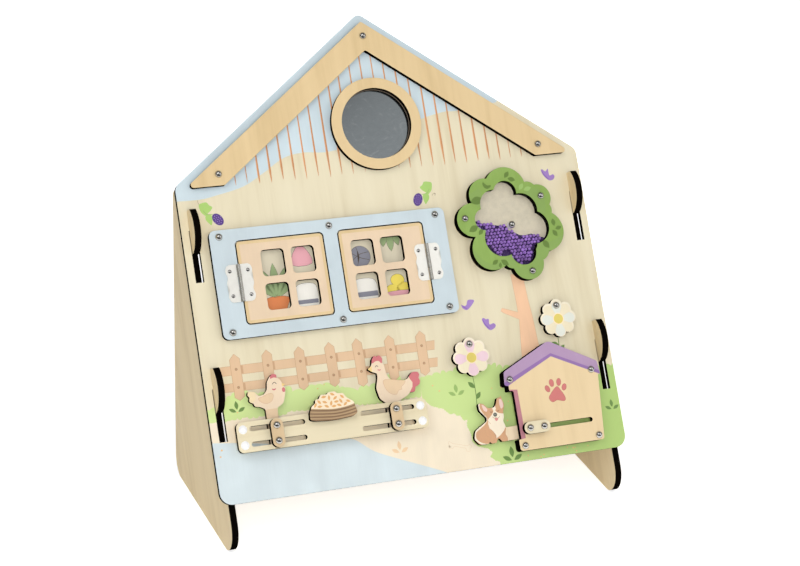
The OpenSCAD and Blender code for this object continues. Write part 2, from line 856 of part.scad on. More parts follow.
module hinge_right_frame_leaf() {
    hinge_leaf(1, 1, [-1, 1], hinge_pin_r);
}

module hinge_right_door_leaf() {
    hinge_leaf(1, -1, [0], hinge_pin_r + bore_gap);
}

module hinge_right_pin() {
    hinge_pin(1);
}

module hinge_frame_screws() {
    hinge_screw_set(-1, -1);
    hinge_screw_set(1, 1);
}

module hinge_left_door_screws() {
    hinge_screw_set(-1, 1);
}

module hinge_right_door_screws() {
    hinge_screw_set(1, -1);
}

// Bead crown

module lobes(list) {
    for (lobe = list) {
        translate([lobe.x, lobe.y])
            circle(lobe.z);
    }
}

module crown_layer(n, t) {
    plate(n, t)
        translate(crown_at)
            children();
}

module crown_ring() {
    difference() {
        lobes(crown_lobes);
        lobes(crown_hole_lobes);
        holes(crown_bolt_points, bolt_r);
    }
}

module crown_sheet() {
    difference() {
        lobes(crown_lobes);
        circle(bolt_r + bore_gap);
        holes(crown_bolt_points, bolt_r);
    }
}

module crown_front_ring() {
    color("#96b95f")
        crown_layer(crown_front_n, crown_front_t)
            crown_ring();
}

module crown_window() {
    color("#e6f0f0", 0.4)
        crown_layer(crown_window_n, crown_window_t)
            crown_sheet();
}

module crown_spacer_ring() {
    color(ply_trim)
        crown_layer(bead_n, bead_space)
            crown_ring();
}

module crown_back() {
    color(ply_board)
        crown_layer(crown_n, crown_back_t)
            crown_sheet();
}

module crown_hub() {
    color("white")
        crown_layer(bead_n, bead_space)
            difference() {
                circle(hub_r);
                circle(bolt_r + bore_gap);
            }
}

module crown_beads() {
    color("#825aaa")
        on_board() {
            for (p = bead_points) {
                translate([crown_at.x + p.x, crown_at.y + p.y, bead_n + bead_space / 2])
                    sphere(bead_r, $fn = 24);
            }
        }
}

module crown_bolts() {
    color(metal)
        dome_bolts([for (p = crown_bolt_points) crown_at + p], crown_top_n, crown_n);
}

module crown_washer() {
    color(metal)
        crown_layer(0, washer_t)
            washer_outline();
}

module washer_outline() {
    difference() {
        circle(washer_r);
        circle(bolt_r);
    }
}

module crown_pivot_bolt() {
    color(metal)
        dome_bolts([crown_at], crown_front_n + play, through_tip);
}

// Flowers

module flower(pivot) {
    plate(flower_n, plate_t)
        difference() {
            translate(pivot - [0, scallop_pitch_r]) {
                circle(scallop_pitch_r + scallop_r / 4);
                for (k = [0:scallops - 1]) {
                    rotate(90 + k * 360 / scallops)
                        translate([scallop_pitch_r, 0])
                            circle(scallop_r);
                }
            }
            translate(pivot)
                circle(bolt_r + bore_gap);
        }
}

module flower_pink() {
    color("#f2d9dc")
        flower(pink_at);
}

module flower_white() {
    color("#f0efe4")
        flower(white_at);
}

module flower_washers() {
    color(metal)
        plate(0, washer_t)
            for (p = [pink_at, white_at]) {
                translate(p)
                    washer_outline();
            }
}

module flower_pivot_bolts() {
    color(metal)
        dome_bolts([pink_at, white_at], flower_n + plate_t + play, through_tip);
}

// Feeding rail

module feeding_rail() {
    color(ply_board)
        plate(rail_gap, plate_t)
            difference() {
                translate(rail_at)
                    rounded_box(rail_w, rail_h, rail_r);
                for (i = [-1, 1], j = [-1, 1]) {
                    translate(rail_at + [i * rail_slot_u, j * knob_pitch / 2])
                        rounded_box(rail_slot_l, rail_slot_w, rail_slot_w / 2);
                }
                holes(rail_bolt_points, bolt_r);
            }
}

module rail_spacers() {
    color(ply_side)
        plate(0, rail_gap)
            difference() {
                holes(rail_bolt_points, spacer_r);
                holes(rail_bolt_points, bolt_r);
            }
}

module rail_bolts() {
    color(metal)
        on_board() {
            for (p = rail_bolt_points) {
                translate([p.x, p.y, through_tip])
                    cylinder(r = bolt_r, h = rail_front - through_tip);
                translate([p.x, p.y, rail_front])
                    cylinder(r = cap_head_r, h = cap_head_h);
            }
        }
}

module rail_caps() {
    color("white")
        on_board() {
            for (p = rail_bolt_points) {
                translate([p.x, p.y, rail_front])
                    difference() {
                        dome(cap_r, cap_h);
                        translate([0, 0, -eps])
                            cylinder(r = cap_head_r + cap_clear, h = cap_head_h + cap_clear + eps);
                    }
            }
        }
}

module feed_bowl() {
    color("#a58c74")
        plate(rail_front, plate_t)
            translate(bowl_at)
                polygon(rounded(bowl_outline));
}

// Sliding figures: each is joined to its knob by two bolts that run through slots

function knob_bolts(at, upright) = [
    for (j = [-1, 1]) at + (upright ? [0, j * knob_pitch / 2] : [j * knob_pitch / 2, 0])
];

module figure_plate(at, upright, outline) {
    plate(figure_n, figure_t)
        difference() {
            translate(at)
                polygon(rounded(outline));
            holes(knob_bolts(at, upright), bolt_r);
        }
}

module knob_plate(at, upright, n) {
    color(ply_trim)
        plate(n, plate_t)
            difference() {
                translate(at)
                    rotate(upright ? 90 : 0)
                        rounded_box(knob_l, knob_w, knob_w / 2);
                holes(knob_bolts(at, upright), bolt_r);
            }
}

module figure_bolts(at, upright, n) {
    color(metal)
        dome_bolts(knob_bolts(at, upright), n + plate_t, figure_n);
}

module hen_left() {
    color("#ecdcc4")
        figure_plate(left_hen_at, true, hen_left_outline);
}

module hen_left_knob() {
    knob_plate(left_hen_at, true, knob_n);
}

module hen_left_bolts() {
    figure_bolts(left_hen_at, true, knob_n);
}

module hen_right() {
    color("#ecdcc4")
        figure_plate(right_hen_at, true, hen_right_outline);
}

module hen_right_knob() {
    knob_plate(right_hen_at, true, knob_n);
}

module hen_right_bolts() {
    figure_bolts(right_hen_at, true, knob_n);
}

module dog() {
    color("#d9a679")
        figure_plate(dog_at, false, dog_outline);
}

module dog_knob() {
    knob_plate(dog_at, false, dog_knob_n);
}

module dog_bolts() {
    figure_bolts(dog_at, false, dog_knob_n);
}

// Kennel

module kennel_shape() {
    translate(kennel_at)
        polygon(rounded(kennel_outline));
}

module kennel_front() {
    color("#e6cfa4")
        plate(kennel_gap, plate_t)
            difference() {
                kennel_shape();
                translate(kennel_slot_at)
                    rounded_box(kennel_slot_l, rail_slot_w, rail_slot_w / 2);
                holes(kennel_bolt_points, bolt_r);
            }
}

module kennel_roof_spacer() {
    color("#b996c3")
        plate(0, kennel_gap)
            difference() {
                kennel_shape();
                translate(kennel_at + [-board_w, kennel_roof_low - board_w])
                    square([2 * board_w, board_w]);
                holes(kennel_bolt_points, bolt_r);
            }
}

module kennel_plinth_spacer() {
    color(ply_trim)
        plate(0, kennel_gap)
            difference() {
                kennel_shape();
                translate(kennel_at + [-board_w, plinth_h])
                    square([2 * board_w, board_w]);
                holes(kennel_bolt_points, bolt_r);
            }
}

module kennel_bolts() {
    color(metal)
        dome_bolts(kennel_bolt_points, kennel_front_n, through_tip);
}

module back_nuts() {
    color(metal)
        nuts(concat(
            trim_bolts, window_bolts, rail_bolt_points, kennel_bolt_points,
            [crown_at, pink_at, white_at]
        ));
}

side_panel_left();
side_panel_right();
front_panel();
roof_trim();
roof_trim_bolts();
mirror_ring();
mirror_disc();
mirror_backer();
window_frame();
window_frame_bolts();
window_door_left();
window_door_right();
hinge_left_frame_leaf();
hinge_left_door_leaf();
hinge_left_pin();
hinge_right_frame_leaf();
hinge_right_door_leaf();
hinge_right_pin();
hinge_frame_screws();
hinge_left_door_screws();
hinge_right_door_screws();
crown_front_ring();
crown_window();
crown_spacer_ring();
crown_back();
crown_hub();
crown_beads();
crown_bolts();
crown_washer();
crown_pivot_bolt();
flower_pink();
flower_white();
flower_washers();
flower_pivot_bolts();
feeding_rail();
rail_spacers();
rail_bolts();
rail_caps();
feed_bowl();
hen_left();
hen_left_knob();
hen_left_bolts();
hen_right();
hen_right_knob();
hen_right_bolts();
kennel_front();
kennel_roof_spacer();
kennel_plinth_spacer();
kennel_bolts();
dog();
dog_knob();
dog_bolts();
back_nuts();
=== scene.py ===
"""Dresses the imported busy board: finishes, printed pictures, camera and soft studio light."""

import json
import math
import random
from functools import partial

import bmesh
import bpy
from mathutils import Matrix, Vector
from mathutils.bvhtree import BVHTree


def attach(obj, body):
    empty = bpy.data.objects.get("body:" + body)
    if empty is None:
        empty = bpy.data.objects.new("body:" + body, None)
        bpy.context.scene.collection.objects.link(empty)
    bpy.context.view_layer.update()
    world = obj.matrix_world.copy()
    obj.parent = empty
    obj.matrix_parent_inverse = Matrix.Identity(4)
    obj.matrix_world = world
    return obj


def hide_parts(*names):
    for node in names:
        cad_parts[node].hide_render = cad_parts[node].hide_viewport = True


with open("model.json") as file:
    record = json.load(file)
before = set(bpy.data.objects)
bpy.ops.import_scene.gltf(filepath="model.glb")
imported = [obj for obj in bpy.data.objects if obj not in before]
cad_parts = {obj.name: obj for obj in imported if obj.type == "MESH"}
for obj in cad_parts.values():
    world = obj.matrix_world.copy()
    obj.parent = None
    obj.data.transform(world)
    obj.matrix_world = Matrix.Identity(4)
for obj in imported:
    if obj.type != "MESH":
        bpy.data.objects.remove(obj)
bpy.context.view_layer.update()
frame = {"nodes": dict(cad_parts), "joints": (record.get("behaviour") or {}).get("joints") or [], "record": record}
NODES = frame["nodes"]
RECORD = frame["record"]
BODY_OF = {n: body for body, nodes in RECORD["behaviour"]["bodies"].items() for n in nodes}
MM = 0.001


# ---- the board's own frame

def joint(name):
    """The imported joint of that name."""
    return next(j for j in frame["joints"] if j["name"] == name)


ACROSS = Vector((1, 0, 0))
UP_BOARD = Vector(joint("board_lift")["axis"]).normalized()
OUT = Vector(joint("crown_spin")["axis"]).normalized()
LEAN = math.atan2(UP_BOARD.y, UP_BOARD.z)


def board_origin():
    """The middle of the board's lower front edge."""
    points = [v.co for v in NODES["front_panel"].data.vertices]
    low = min(p.dot(UP_BOARD) for p in points)
    front = max(p.dot(OUT) for p in points)
    return UP_BOARD * low + OUT * front


ORIGIN = board_origin()
BOARD = Matrix.Translation(ORIGIN) @ Matrix((ACROSS, UP_BOARD, OUT)).transposed().to_4x4()


def at(u, v, n=0.0):
    """A point of the board's frame, in millimetres, as a point of the scene."""
    return BOARD @ Vector((u * MM, v * MM, n * MM))


def place(node):
    """Lowest and highest corner of a node in the board's frame, in millimetres."""
    inverse = BOARD.inverted()
    points = [inverse @ v.co / MM for v in NODES[node].data.vertices]
    low = [min(p[i] for p in points) for i in range(3)]
    high = [max(p[i] for p in points) for i in range(3)]
    return low, high


def middle(node):
    """The middle of a node's box, across and up the board."""
    low, high = place(node)
    return (low[0] + high[0]) / 2, (low[1] + high[1]) / 2


def add_piece(name, data):
    """A new object in the scene."""
    piece = bpy.data.objects.new(name, data)
    bpy.context.scene.collection.objects.link(piece)
    return piece


def coat(mesh, *materials):
    """Gives a mesh these materials and no others."""
    mesh.materials.clear()
    for material in materials:
        mesh.materials.append(material)


def add_node(tree, kind, inputs=None, **settings):
    """A new shader node; its inputs are plain values or the sockets that feed them."""
    node = tree.nodes.new("ShaderNode" + kind)
    for name, value in settings.items():
        setattr(node, name, value)
    for socket, value in (inputs or {}).items():
        if isinstance(value, bpy.types.NodeSocket):
            tree.links.new(value, node.inputs[socket])
        else:
            node.inputs[socket].default_value = value
    return node


# ---- camera, floor and light

LENS = 88.69
CAMERA_AT = (-618.2, -56.8, 1820.8)
CAMERA_YAW = math.radians(18.74)
CAMERA_PITCH = math.radians(-7.33)
CAMERA_ROLL = math.radians(9.13)
CAMERA_REACH = 50
BOARD_MIDDLE = (0, 200)
MIRROR_MIDDLE = (0, 351)
WORLD_LEVEL = 0.37
WORLD_RAMP = ((0.0, 0.8), (0.75, 1.0))
FLOOR_SIZE = 16
FLOOR_FINISH = ((0.93, 0.93, 0.93, 1), 0.9, 0.1)
FLOOR_GLOW = 0.60
FLOOR_FADE = (0.3, 1.1)
LAMPS = (
    # name, place on the board's frame in mm, size in m, power in W, seen in what is shiny
    ("key", (-900, 900, 1500), 1.3, 8.5, True),
    ("fill", (1200, 300, 1300), 1.6, 7.5, True),
    ("front", (-450, -100, 2000), 0.8, 16, False),
)
CARDS = (
    # name, place on the board's frame in mm, what it faces, size in m, grey
    ("mirror_card", (742, 840, 2185), MIRROR_MIDDLE, 0.62, 0.3),
    ("hinge_card", (440, 365, 1821), BOARD_MIDDLE, 0.62, 1.3),
    ("top_card", (60, 1750, 1900), BOARD_MIDDLE, 0.9, 1.8),
    ("room_front", (0, 0, 3500), BOARD_MIDDLE, 7.0, 0.1),
    ("room_left", (-3300, 0, 900), BOARD_MIDDLE, 6.0, 0.1),
    ("room_right", (3300, 0, 900), BOARD_MIDDLE, 6.0, 0.1),
    ("room_roof", (0, 3300, 1200), BOARD_MIDDLE, 6.0, 0.1),
)


def make_camera():
    """The camera, from its place and its three turns in the board's frame."""
    turn = (
        Matrix.Rotation(CAMERA_ROLL, 3, "Z")
        @ Matrix.Rotation(CAMERA_PITCH, 3, "X")
        @ Matrix.Rotation(CAMERA_YAW, 3, "Y")
    )
    data = bpy.data.cameras.new("camera")
    data.lens = LENS
    data.clip_end = CAMERA_REACH
    camera = add_piece("camera", data)
    camera.matrix_world = (
        BOARD @ Matrix.Translation(Vector(CAMERA_AT) * MM) @ turn.transposed().to_4x4()
    )
    bpy.context.scene.camera = camera


def facing(centre, aim, axis):
    """The turn that points an axis from one place to another."""
    return (Vector(aim) - Vector(centre)).to_track_quat(axis, "Y").to_euler()


def area_light(name, centre, aim, size, power, glossy):
    """A soft square lamp that looks at a point."""
    data = bpy.data.lights.new(name, "AREA")
    data.size = size
    data.energy = power
    lamp = add_piece(name, data)
    lamp.location = centre
    lamp.rotation_euler = facing(centre, aim, "-Z")
    lamp.visible_glossy = glossy


def background_rays(tree):
    """One where the camera, a reflection or clear plastic looks, zero for light that falls."""
    path = add_node(tree, "LightPath")
    seen = path.outputs["Is Camera Ray"]
    for ray in ("Is Glossy Ray", "Is Transmission Ray"):
        both = add_node(tree, "Math", {0: seen, 1: path.outputs[ray]}, operation="MAXIMUM")
        seen = both.outputs[0]
    return seen


def node_tree(owner, clear=False):
    """The node tree of a world or a material."""
    owner.use_nodes = True
    if clear:
        owner.node_tree.nodes.clear()
    return owner.node_tree


def make_world():
    """Soft light from all round, a little darker towards the ground, on a white background."""
    world = bpy.data.worlds.new("studio")
    tree = node_tree(world, True)
    coords = add_node(tree, "TexCoord")
    split = add_node(tree, "SeparateXYZ", {0: coords.outputs["Generated"]})
    ramp = add_node(tree, "ValToRGB", {0: split.outputs["Z"]})
    for element, (height, level) in zip(ramp.color_ramp.elements, WORLD_RAMP):
        element.position = height
        element.color = (level, level, level, 1)
    light = add_node(tree, "Background", {"Color": ramp.outputs[0], "Strength": WORLD_LEVEL})
    white = add_node(tree, "Background", {"Color": (1, 1, 1, 1), "Strength": 1.0})
    mix = add_node(
        tree, "MixShader", {0: background_rays(tree), 1: light.outputs[0], 2: white.outputs[0]}
    )
    add_node(tree, "OutputWorld", {0: mix.outputs[0]})
    bpy.context.scene.world = world


def make_stage():
    """A pale floor that keeps the object's soft shadow and fades into the white background."""
    bpy.ops.mesh.primitive_plane_add(size=FLOOR_SIZE, location=(0, 0, 0))
    floor = bpy.context.object
    floor.name = "floor"
    material = bpy.data.materials.new("floor")
    tree = node_tree(material)
    shader = tree.nodes["Principled BSDF"]
    for socket, value in zip(("Base Color", "Roughness", "Specular IOR Level"), FLOOR_FINISH):
        shader.inputs[socket].default_value = value
    coords = add_node(tree, "TexCoord")
    reach = add_node(tree, "VectorMath", {0: coords.outputs["Object"]}, operation="LENGTH")
    fade = add_node(tree, "MapRange", {
        "From Min": FLOOR_FADE[0], "From Max": FLOOR_FADE[1], "To Min": FLOOR_GLOW, "To Max": 1.0,
        "Value": reach.outputs["Value"]
    })
    level = add_node(
        tree, "Math", {0: fade.outputs[0], 1: background_rays(tree)}, operation="MULTIPLY"
    )
    glow = add_node(tree, "Emission", {"Strength": level.outputs[0]})
    both = add_node(tree, "AddShader", {0: shader.outputs[0], 1: glow.outputs[0]})
    tree.links.new(both.outputs[0], tree.nodes["Material Output"].inputs[0])
    coat(floor.data, material)


def card(name, centre, aim, size, grey):
    """A grey studio card that only shows in what is shiny."""
    bpy.ops.mesh.primitive_plane_add(size=size, location=centre)
    piece = bpy.context.object
    piece.name = name
    piece.rotation_euler = facing(centre, aim, "Z")
    material = bpy.data.materials.new(name)
    tree = node_tree(material, True)
    glow = add_node(tree, "Emission", {"Color": (grey, grey, grey, 1)})
    add_node(tree, "OutputMaterial", {0: glow.outputs[0]})
    coat(piece.data, material)
    for ray in ("camera", "diffuse", "transmission", "shadow"):
        setattr(piece, "visible_" + ray, False)


make_camera()
make_world()
make_stage()
for lamp_name, lamp_at, lamp_size, watts, shows in LAMPS:
    area_light(lamp_name, at(*lamp_at), at(*BOARD_MIDDLE), lamp_size, watts, shows)
for card_name, card_at, card_aim, card_size, card_grey in CARDS:
    card(card_name, at(*card_at), at(*card_aim), card_size, card_grey)
card("room_ground", (0, -2.3, 0.004), (0, -2.3, 1), 4.0, 0.05)
bpy.context.scene.view_settings.view_transform = "Standard"


# ---- materials

def linear(rgb):
    """An 8-bit screen colour as a linear one."""
    def channel(c):
        c = c / 255
        return c / 12.92 if c <= 0.04045 else ((c + 0.055) / 1.055) ** 2.4
    return tuple(channel(c) for c in rgb) + (1,)


def shade(rgb, factor):
    """A screen colour made lighter or darker."""
    return tuple(max(0, min(255, c * factor)) for c in rgb)


class Shading:
    """A material being built from nodes, with its colours worked out in the board's frame."""

    def __init__(self, name, roughness=0.6, metallic=0.0):
        self.material = bpy.data.materials.new(name)
        self.tree = node_tree(self.material)
        self.add = partial(add_node, self.tree)
        self.bsdf = self.tree.nodes["Principled BSDF"]
        self.set("Roughness", roughness)
        self.set("Metallic", metallic)
        turn = self.add("Mapping", {
            "Rotation": (LEAN - math.pi / 2, 0, 0), "Vector": self.add("TexCoord").outputs["Object"]
        })
        self.board = turn.outputs["Vector"]

    def set(self, socket, value):
        """A plain value on the shader's own socket."""
        self.bsdf.inputs[socket].default_value = value

    def feed(self, socket, source):
        """A link into the shader."""
        self.tree.links.new(source, self.bsdf.inputs[socket])

    def noise(self, size, detail=3.0, distortion=0.0):
        """Noise whose features are about size = (across, up, out) millimetres; gives 0 to 1."""
        stretch = self.add("Mapping", {"Scale": [1 / (s * MM) for s in size], "Vector": self.board})
        return self.add("TexNoise", {
            "Scale": 1.0, "Detail": detail, "Distortion": distortion,
            "Vector": stretch.outputs["Vector"]
        }).outputs[0]

    def math(self, operation, a, b):
        """A math node on two values or sockets."""
        return self.add("Math", {0: a, 1: b}, operation=operation).outputs[0]

    def blend(self, *parts):
        """The sum of values by their weights."""
        total = 0.0
        for value, weight in parts:
            total = self.math("ADD", total, self.math("MULTIPLY", value, weight))
        return total

    def colour(self, value, stops):
        """The base colour along a value: stops are (position, screen colour)."""
        ramp = self.add("ValToRGB", {0: value})
        elements = ramp.color_ramp.elements
        while len(elements) < len(stops):
            elements.new(0.5)
        for element, (position, colour) in zip(elements, stops):
            element.position = position
            element.color = linear(colour)
        self.feed("Base Color", ramp.outputs[0])

    def bump(self, height, strength, depth):
        """Relief from a value, with its depth in millimetres."""
        relief = self.add("Bump", {"Strength": strength, "Distance": depth * MM, "Height": height})
        self.feed("Normal", relief.outputs[0])

    def vary_roughness(self, value, low, high):
        """Roughness between low and high along a value."""
        spread = self.add("MapRange", {"To Min": low, "To Max": high, "Value": value})
        self.feed("Roughness", spread.outputs[0])


def plywood(name, rgb, grain="up", contrast=0.5):
    """Sanded veneer: broad soft figure with faint fibres along the grain."""
    s = Shading(name, 0.55)

    def size(thin, long):
        return (thin, long, thin) if grain == "up" else (long, thin, thin)

    broad = s.noise(size(30, 240), 2.0, 1.2)
    band = s.noise(size(7, 160), 2.0, 0.4)
    fibre = s.noise(size(1.3, 36))
    mixed = s.blend((broad, 0.60), (band, 0.26), (fibre, 0.14))
    dark = [c * (1 - drop * contrast) for c, drop in zip(rgb, (0.085, 0.105, 0.15))]
    light = [min(255, c * (1 + lift * contrast)) for c, lift in zip(rgb, (0.04, 0.05, 0.07))]
    s.colour(mixed, [(0.32, dark), (0.50, rgb), (0.70, light)])
    s.vary_roughness(fibre, 0.5, 0.66)
    s.bump(fibre, 0.2, 0.04)
    return s.material


def printed(name, rgb, second=None, grain=0.025, across=None):
    """Matt ink on veneer: a second colour clouds it, or takes over between two places across."""
    s = Shading(name, 0.62)
    fibre = s.noise((1.4, 40, 1.4))
    if across:
        low, high = across
        spread = s.add("MapRange", {
            "From Min": low * MM, "From Max": high * MM,
            "Value": s.add("SeparateXYZ", {0: s.board}).outputs["X"]
        })
        s.colour(spread.outputs[0], [(0.0, rgb), (1.0, second)])
    else:
        cloud = s.noise((30, 60, 30), 2.0, 0.5)
        tone = s.blend((fibre, 0.2), (cloud, 0.8))
        far = second or shade(rgb, 1 + grain)
        s.colour(tone, [(0.32, shade(rgb, 1 - grain)), (0.5, rgb), (0.68, far)])
    s.vary_roughness(fibre, 0.54, 0.68)
    s.bump(fibre, 0.15, 0.03)
    return s.material


def burnt_edge(name, across_plies):
    """Laser-cut plywood edge: charred black, with the glue lines a little lighter."""
    s = Shading(name, 1.0)
    s.set("Specular IOR Level", 0.0)
    depth = s.add("SeparateXYZ", {0: s.board}).outputs[across_plies]
    wave = s.math("SINE", s.math("MULTIPLY", depth, math.tau / (PLY_THICK * MM)), 0.0)
    streak = s.noise((3, 3, 0.5) if across_plies == "Z" else (0.5, 6, 6))
    tone = s.math("ADD", s.math("MULTIPLY", wave, 0.08), streak)
    s.colour(tone, [(0.42, (8, 6, 5)), (0.62, (13, 10, 8)), (0.80, (26, 19, 14))])
    s.bump(streak, 0.3, 0.1)
    return s.material


def clouded(name, roughness, metallic, size, stops, rough):
    """A smooth finish whose tone and gloss change a little from place to place."""
    s = Shading(name, roughness, metallic)
    tone = s.noise((size, size, size), 2.0)
    s.colour(tone, stops)
    s.vary_roughness(tone, roughness * rough[0], roughness * rough[1])
    return s.material


def metal(name, rgb, roughness, metallic=1.0, worn=0.93):
    """Nickel-plated steel with faint wear."""
    stops = [(0.3, shade(rgb, worn)), (0.7, rgb)]
    return clouded(name, roughness, metallic, 6, stops, (0.9, 1.1))


def plastic(name, rgb, roughness, cloud):
    """Moulded plastic with slight tone changes."""
    stops = [(0.35, shade(rgb, 1 - cloud)), (0.65, shade(rgb, 1 + cloud))]
    return clouded(name, roughness, 0.0, 5, stops, (0.85, 1.2))


def clear_sheet(name):
    """Thin clear acrylic: almost nothing but its gloss."""
    s = Shading(name, 0.06)
    s.set("Base Color", (0.02, 0.02, 0.02, 1))
    s.set("Alpha", 0.05)
    s.vary_roughness(s.noise((14, 9, 14), 3.0, 1.0), 0.04, 0.16)
    return s.material


def mirror_sheet(name):
    """Acrylic mirror, a little hazy where it has been touched."""
    s = Shading(name, 0.1, 1.0)
    smudge = s.noise((16, 10, 16), 5.0, 2.2)
    s.colour(smudge, [(0.35, (112, 117, 119)), (0.6, (118, 123, 125)), (0.8, (138, 142, 143))])
    s.vary_roughness(smudge, 0.08, 0.2)
    return s.material


PLY_THICK = 1.2
PLY_SIDE = plywood("ply_side", (243, 221, 176), contrast=0.7)
PLY_TRIM = plywood("ply_trim", (224, 197, 149))
PLY_RAIL = plywood("ply_rail", (229, 216, 182), "across", 0.45)
EDGE = burnt_edge("burnt_edge", "Z")
SIDE_EDGE = burnt_edge("burnt_side_edge", "X")
NICKEL = metal("nickel", (205, 203, 199), 0.16)
KNUCKLE_NICKEL = metal("knuckle_nickel", (186, 184, 176), 0.24, 0.8)
HINGE_NICKEL = metal("hinge_nickel", (240, 238, 230), 0.3, 0.45, 0.98)
BEAD = plastic("bead_violet", (164, 122, 206), 0.3, 0.12)
WHITE = plastic("white_plastic", (250, 250, 250), 0.6, 0.01)
MIRROR = mirror_sheet("mirror_sheet")
PLATES = (
    # the front, the back where it is another, and the nodes
    (plywood("ply_board", (229, 218, 187)), PLY_SIDE, "front_panel"),
    (plywood("ply_kennel", (233, 208, 164), contrast=0.35), None, "kennel_front"),
    (plywood("ply_knob", (214, 187, 147)), None, "hen_left_knob hen_right_knob"),
    (plywood("ply_dog", (240, 218, 184)), PLY_TRIM, "dog"),
    (PLY_TRIM, None, "roof_trim mirror_ring window_door_left window_door_right"),
    (PLY_TRIM, None, "kennel_roof_spacer kennel_plinth_spacer"),
    (PLY_RAIL, None, "feeding_rail dog_knob"),
    (PLY_SIDE, None, "mirror_backer"),
    (EDGE, PLY_TRIM, "crown_spacer_ring"),
    (printed("print_window_blue", (199, 212, 217)), None, "window_frame"),
    (printed("print_crown_green", (137, 168, 81), (148, 179, 93)), PLY_TRIM, "crown_front_ring"),
    (printed("print_hen_cream", (236, 213, 184)), PLY_TRIM, "hen_left hen_right"),
    (printed("print_bowl_brown", (179, 149, 112)), None, "feed_bowl"),
    (printed("print_flower_cream", (246, 234, 210)), PLY_TRIM, "flower_pink"),
    (printed("print_flower_pale", (238, 228, 202)), PLY_TRIM, "flower_white"),
    (plastic("crown_back_sheet", (225, 215, 190), 0.5, 0.02), None, "crown_back"),
    (clear_sheet("clear_sheet"), None, "crown_window"),
)


FACE_DOT = 0.8


def face_and_edge(node, face, back, edge=EDGE, normal=OUT):
    """Gives a plate's faces their finishes and its cut edges another."""
    mesh = NODES[node].data
    coat(mesh, face, edge, back)
    for polygon in mesh.polygons:
        facing = polygon.normal.dot(normal)
        polygon.material_index = 1 if abs(facing) < FACE_DOT else (0 if facing > 0 else 2)


def finish(nodes, material):
    """Gives whole nodes one finish."""
    for node in nodes:
        coat(NODES[node].data, material)


def dress_nodes():
    """Every CAD node's own finish."""
    for node in ("side_panel_left", "side_panel_right"):
        face_and_edge(node, PLY_SIDE, PLY_SIDE, SIDE_EDGE, ACROSS)
    for face, back, nodes in PLATES:
        for node in nodes.split():
            face_and_edge(node, face, back or face)
    fasteners = ("_bolts", "_bolt", "_nuts", "washer", "washers", "screws")
    finish([n for n in NODES if n.startswith("hinge_")], KNUCKLE_NICKEL)
    finish([n for n in NODES if n.endswith(fasteners)], NICKEL)
    finish(["crown_hub", "rail_caps"], WHITE)
    finish(["crown_beads"], BEAD)
    finish(["mirror_disc"], MIRROR)
    finish(["rail_spacers"], PLY_SIDE)


dress_nodes()


# ---- printed pictures

INK_STEP = 0.03
INK_ROOT = 0.02
CUT_EXCESS = 1
WELD = 1e-6
RIM_RADIUS = 38
MIRROR_FRONT = -1.0
SIDING_PITCH = 12
SIDING_FOOT = 304
SIDING_LINES = 13
SIDING_THIN_FROM = 12
SIDING_WIDE = (1.6, 2.3)
GABLE_TOP = 435
GABLE_SLOPE = 0.755
FIRST_PICKET = -177.9
PICKET_PITCH = 31.4
PICKET_TIP = 141
PICKET_HALF = 4.8
PICKETS = (
    # the foot's height and the picket's drift from an even pitch
    (96.6, 0.9), (99, 0.9), (98.5, 1.8), (97.8, 1.6), (94.3, -1.6), (95.8, -0.4), (97, 0.4)
)
RAIL_SHADES = ((121.8, 129.5), (106, 112.6))
GARLAND_TURN = -140.4
GRAPES = ((-172.7, 272.2, -52), (32, 271.6, 68))
ROOM_ACROSS = (-117, -14)
ROOM_MIDDLE = 207.5
ROOM_HALF = (43.5, 40.2)
BOWL_AT = (-93.95, 65.0)
RIM_DROP = 10.4
BEAD_PITCH = 3.8
BEAD_ROW_PITCH = 0.87 * BEAD_PITCH
BEAD_ROWS = range(-24, 8)
BEAD_COLUMNS = range(-20, 20)
BEAD_JITTER = 0.35
BEAD_OVERRUN = 3
BEAD_SINK = 0.6
HEAP_DROPS = (0, 3, 6)
BEAD_RADII = (1.6, 1.8)
BEAD_HEIGHT = 4.05
BEAD_TOP = [
    (-41, 9), (-34, 8.8), (-28.6, 5.6), (-20, 4), (-12, 2), (-4.2, 1), (-2.8, -3.6), (4, -6.8),
    (8, -9.5), (14, -10.5), (21, -9.4), (26, -12), (34, -14.8), (44, -16)
]
WALL_CLEAR = 1.25
HUB_CLEAR = 5.0
CHIP_REACH = 18
LEAF_REACH = 12.5
LEAF_WAVE = 0.7
LEAF_WAVE_LENGTH = 12.2
LEAF_CORNER = 2.6
LEAF_INNER = 2.1
LEAF_LAYER = (0.02, 0.84)


def mesh_of(name, build):
    """The mesh of a finished build."""
    mesh = bpy.data.meshes.new(name)
    build.to_mesh(mesh)
    build.free()
    return mesh


def area_of(outline):
    """Signed area: positive when the outline runs anticlockwise."""
    pairs = zip(outline, outline[1:] + outline[:1])
    return sum(a[0] * b[1] - b[0] * a[1] for a, b in pairs) / 2


def smooth(points, closed=True, steps=6):
    """A round line through the points."""
    count = len(points)
    line = []
    for i in range(count if closed else count - 1):
        near = [i + k if closed else min(max(i + k, 0), count - 1) for k in (-1, 0, 1, 2)]
        p = [points[k % count] for k in near]
        for s in range(steps):
            t = s / steps
            line.append(tuple(
                0.5 * (2 * p[1][c] + (p[2][c] - p[0][c]) * t
                       + (2 * p[0][c] - 5 * p[1][c] + 4 * p[2][c] - p[3][c]) * t * t
                       + (3 * p[1][c] - p[0][c] - 3 * p[2][c] + p[3][c]) * t ** 3)
                for c in (0, 1)
            ))
    if not closed:
        line.append(points[-1])
    return line


def turned(points, u, v, angle):
    """The points turned about zero, then shifted."""
    c, s = math.cos(math.radians(angle)), math.sin(math.radians(angle))
    return [(u + x * c - y * s, v + x * s + y * c) for x, y in points]


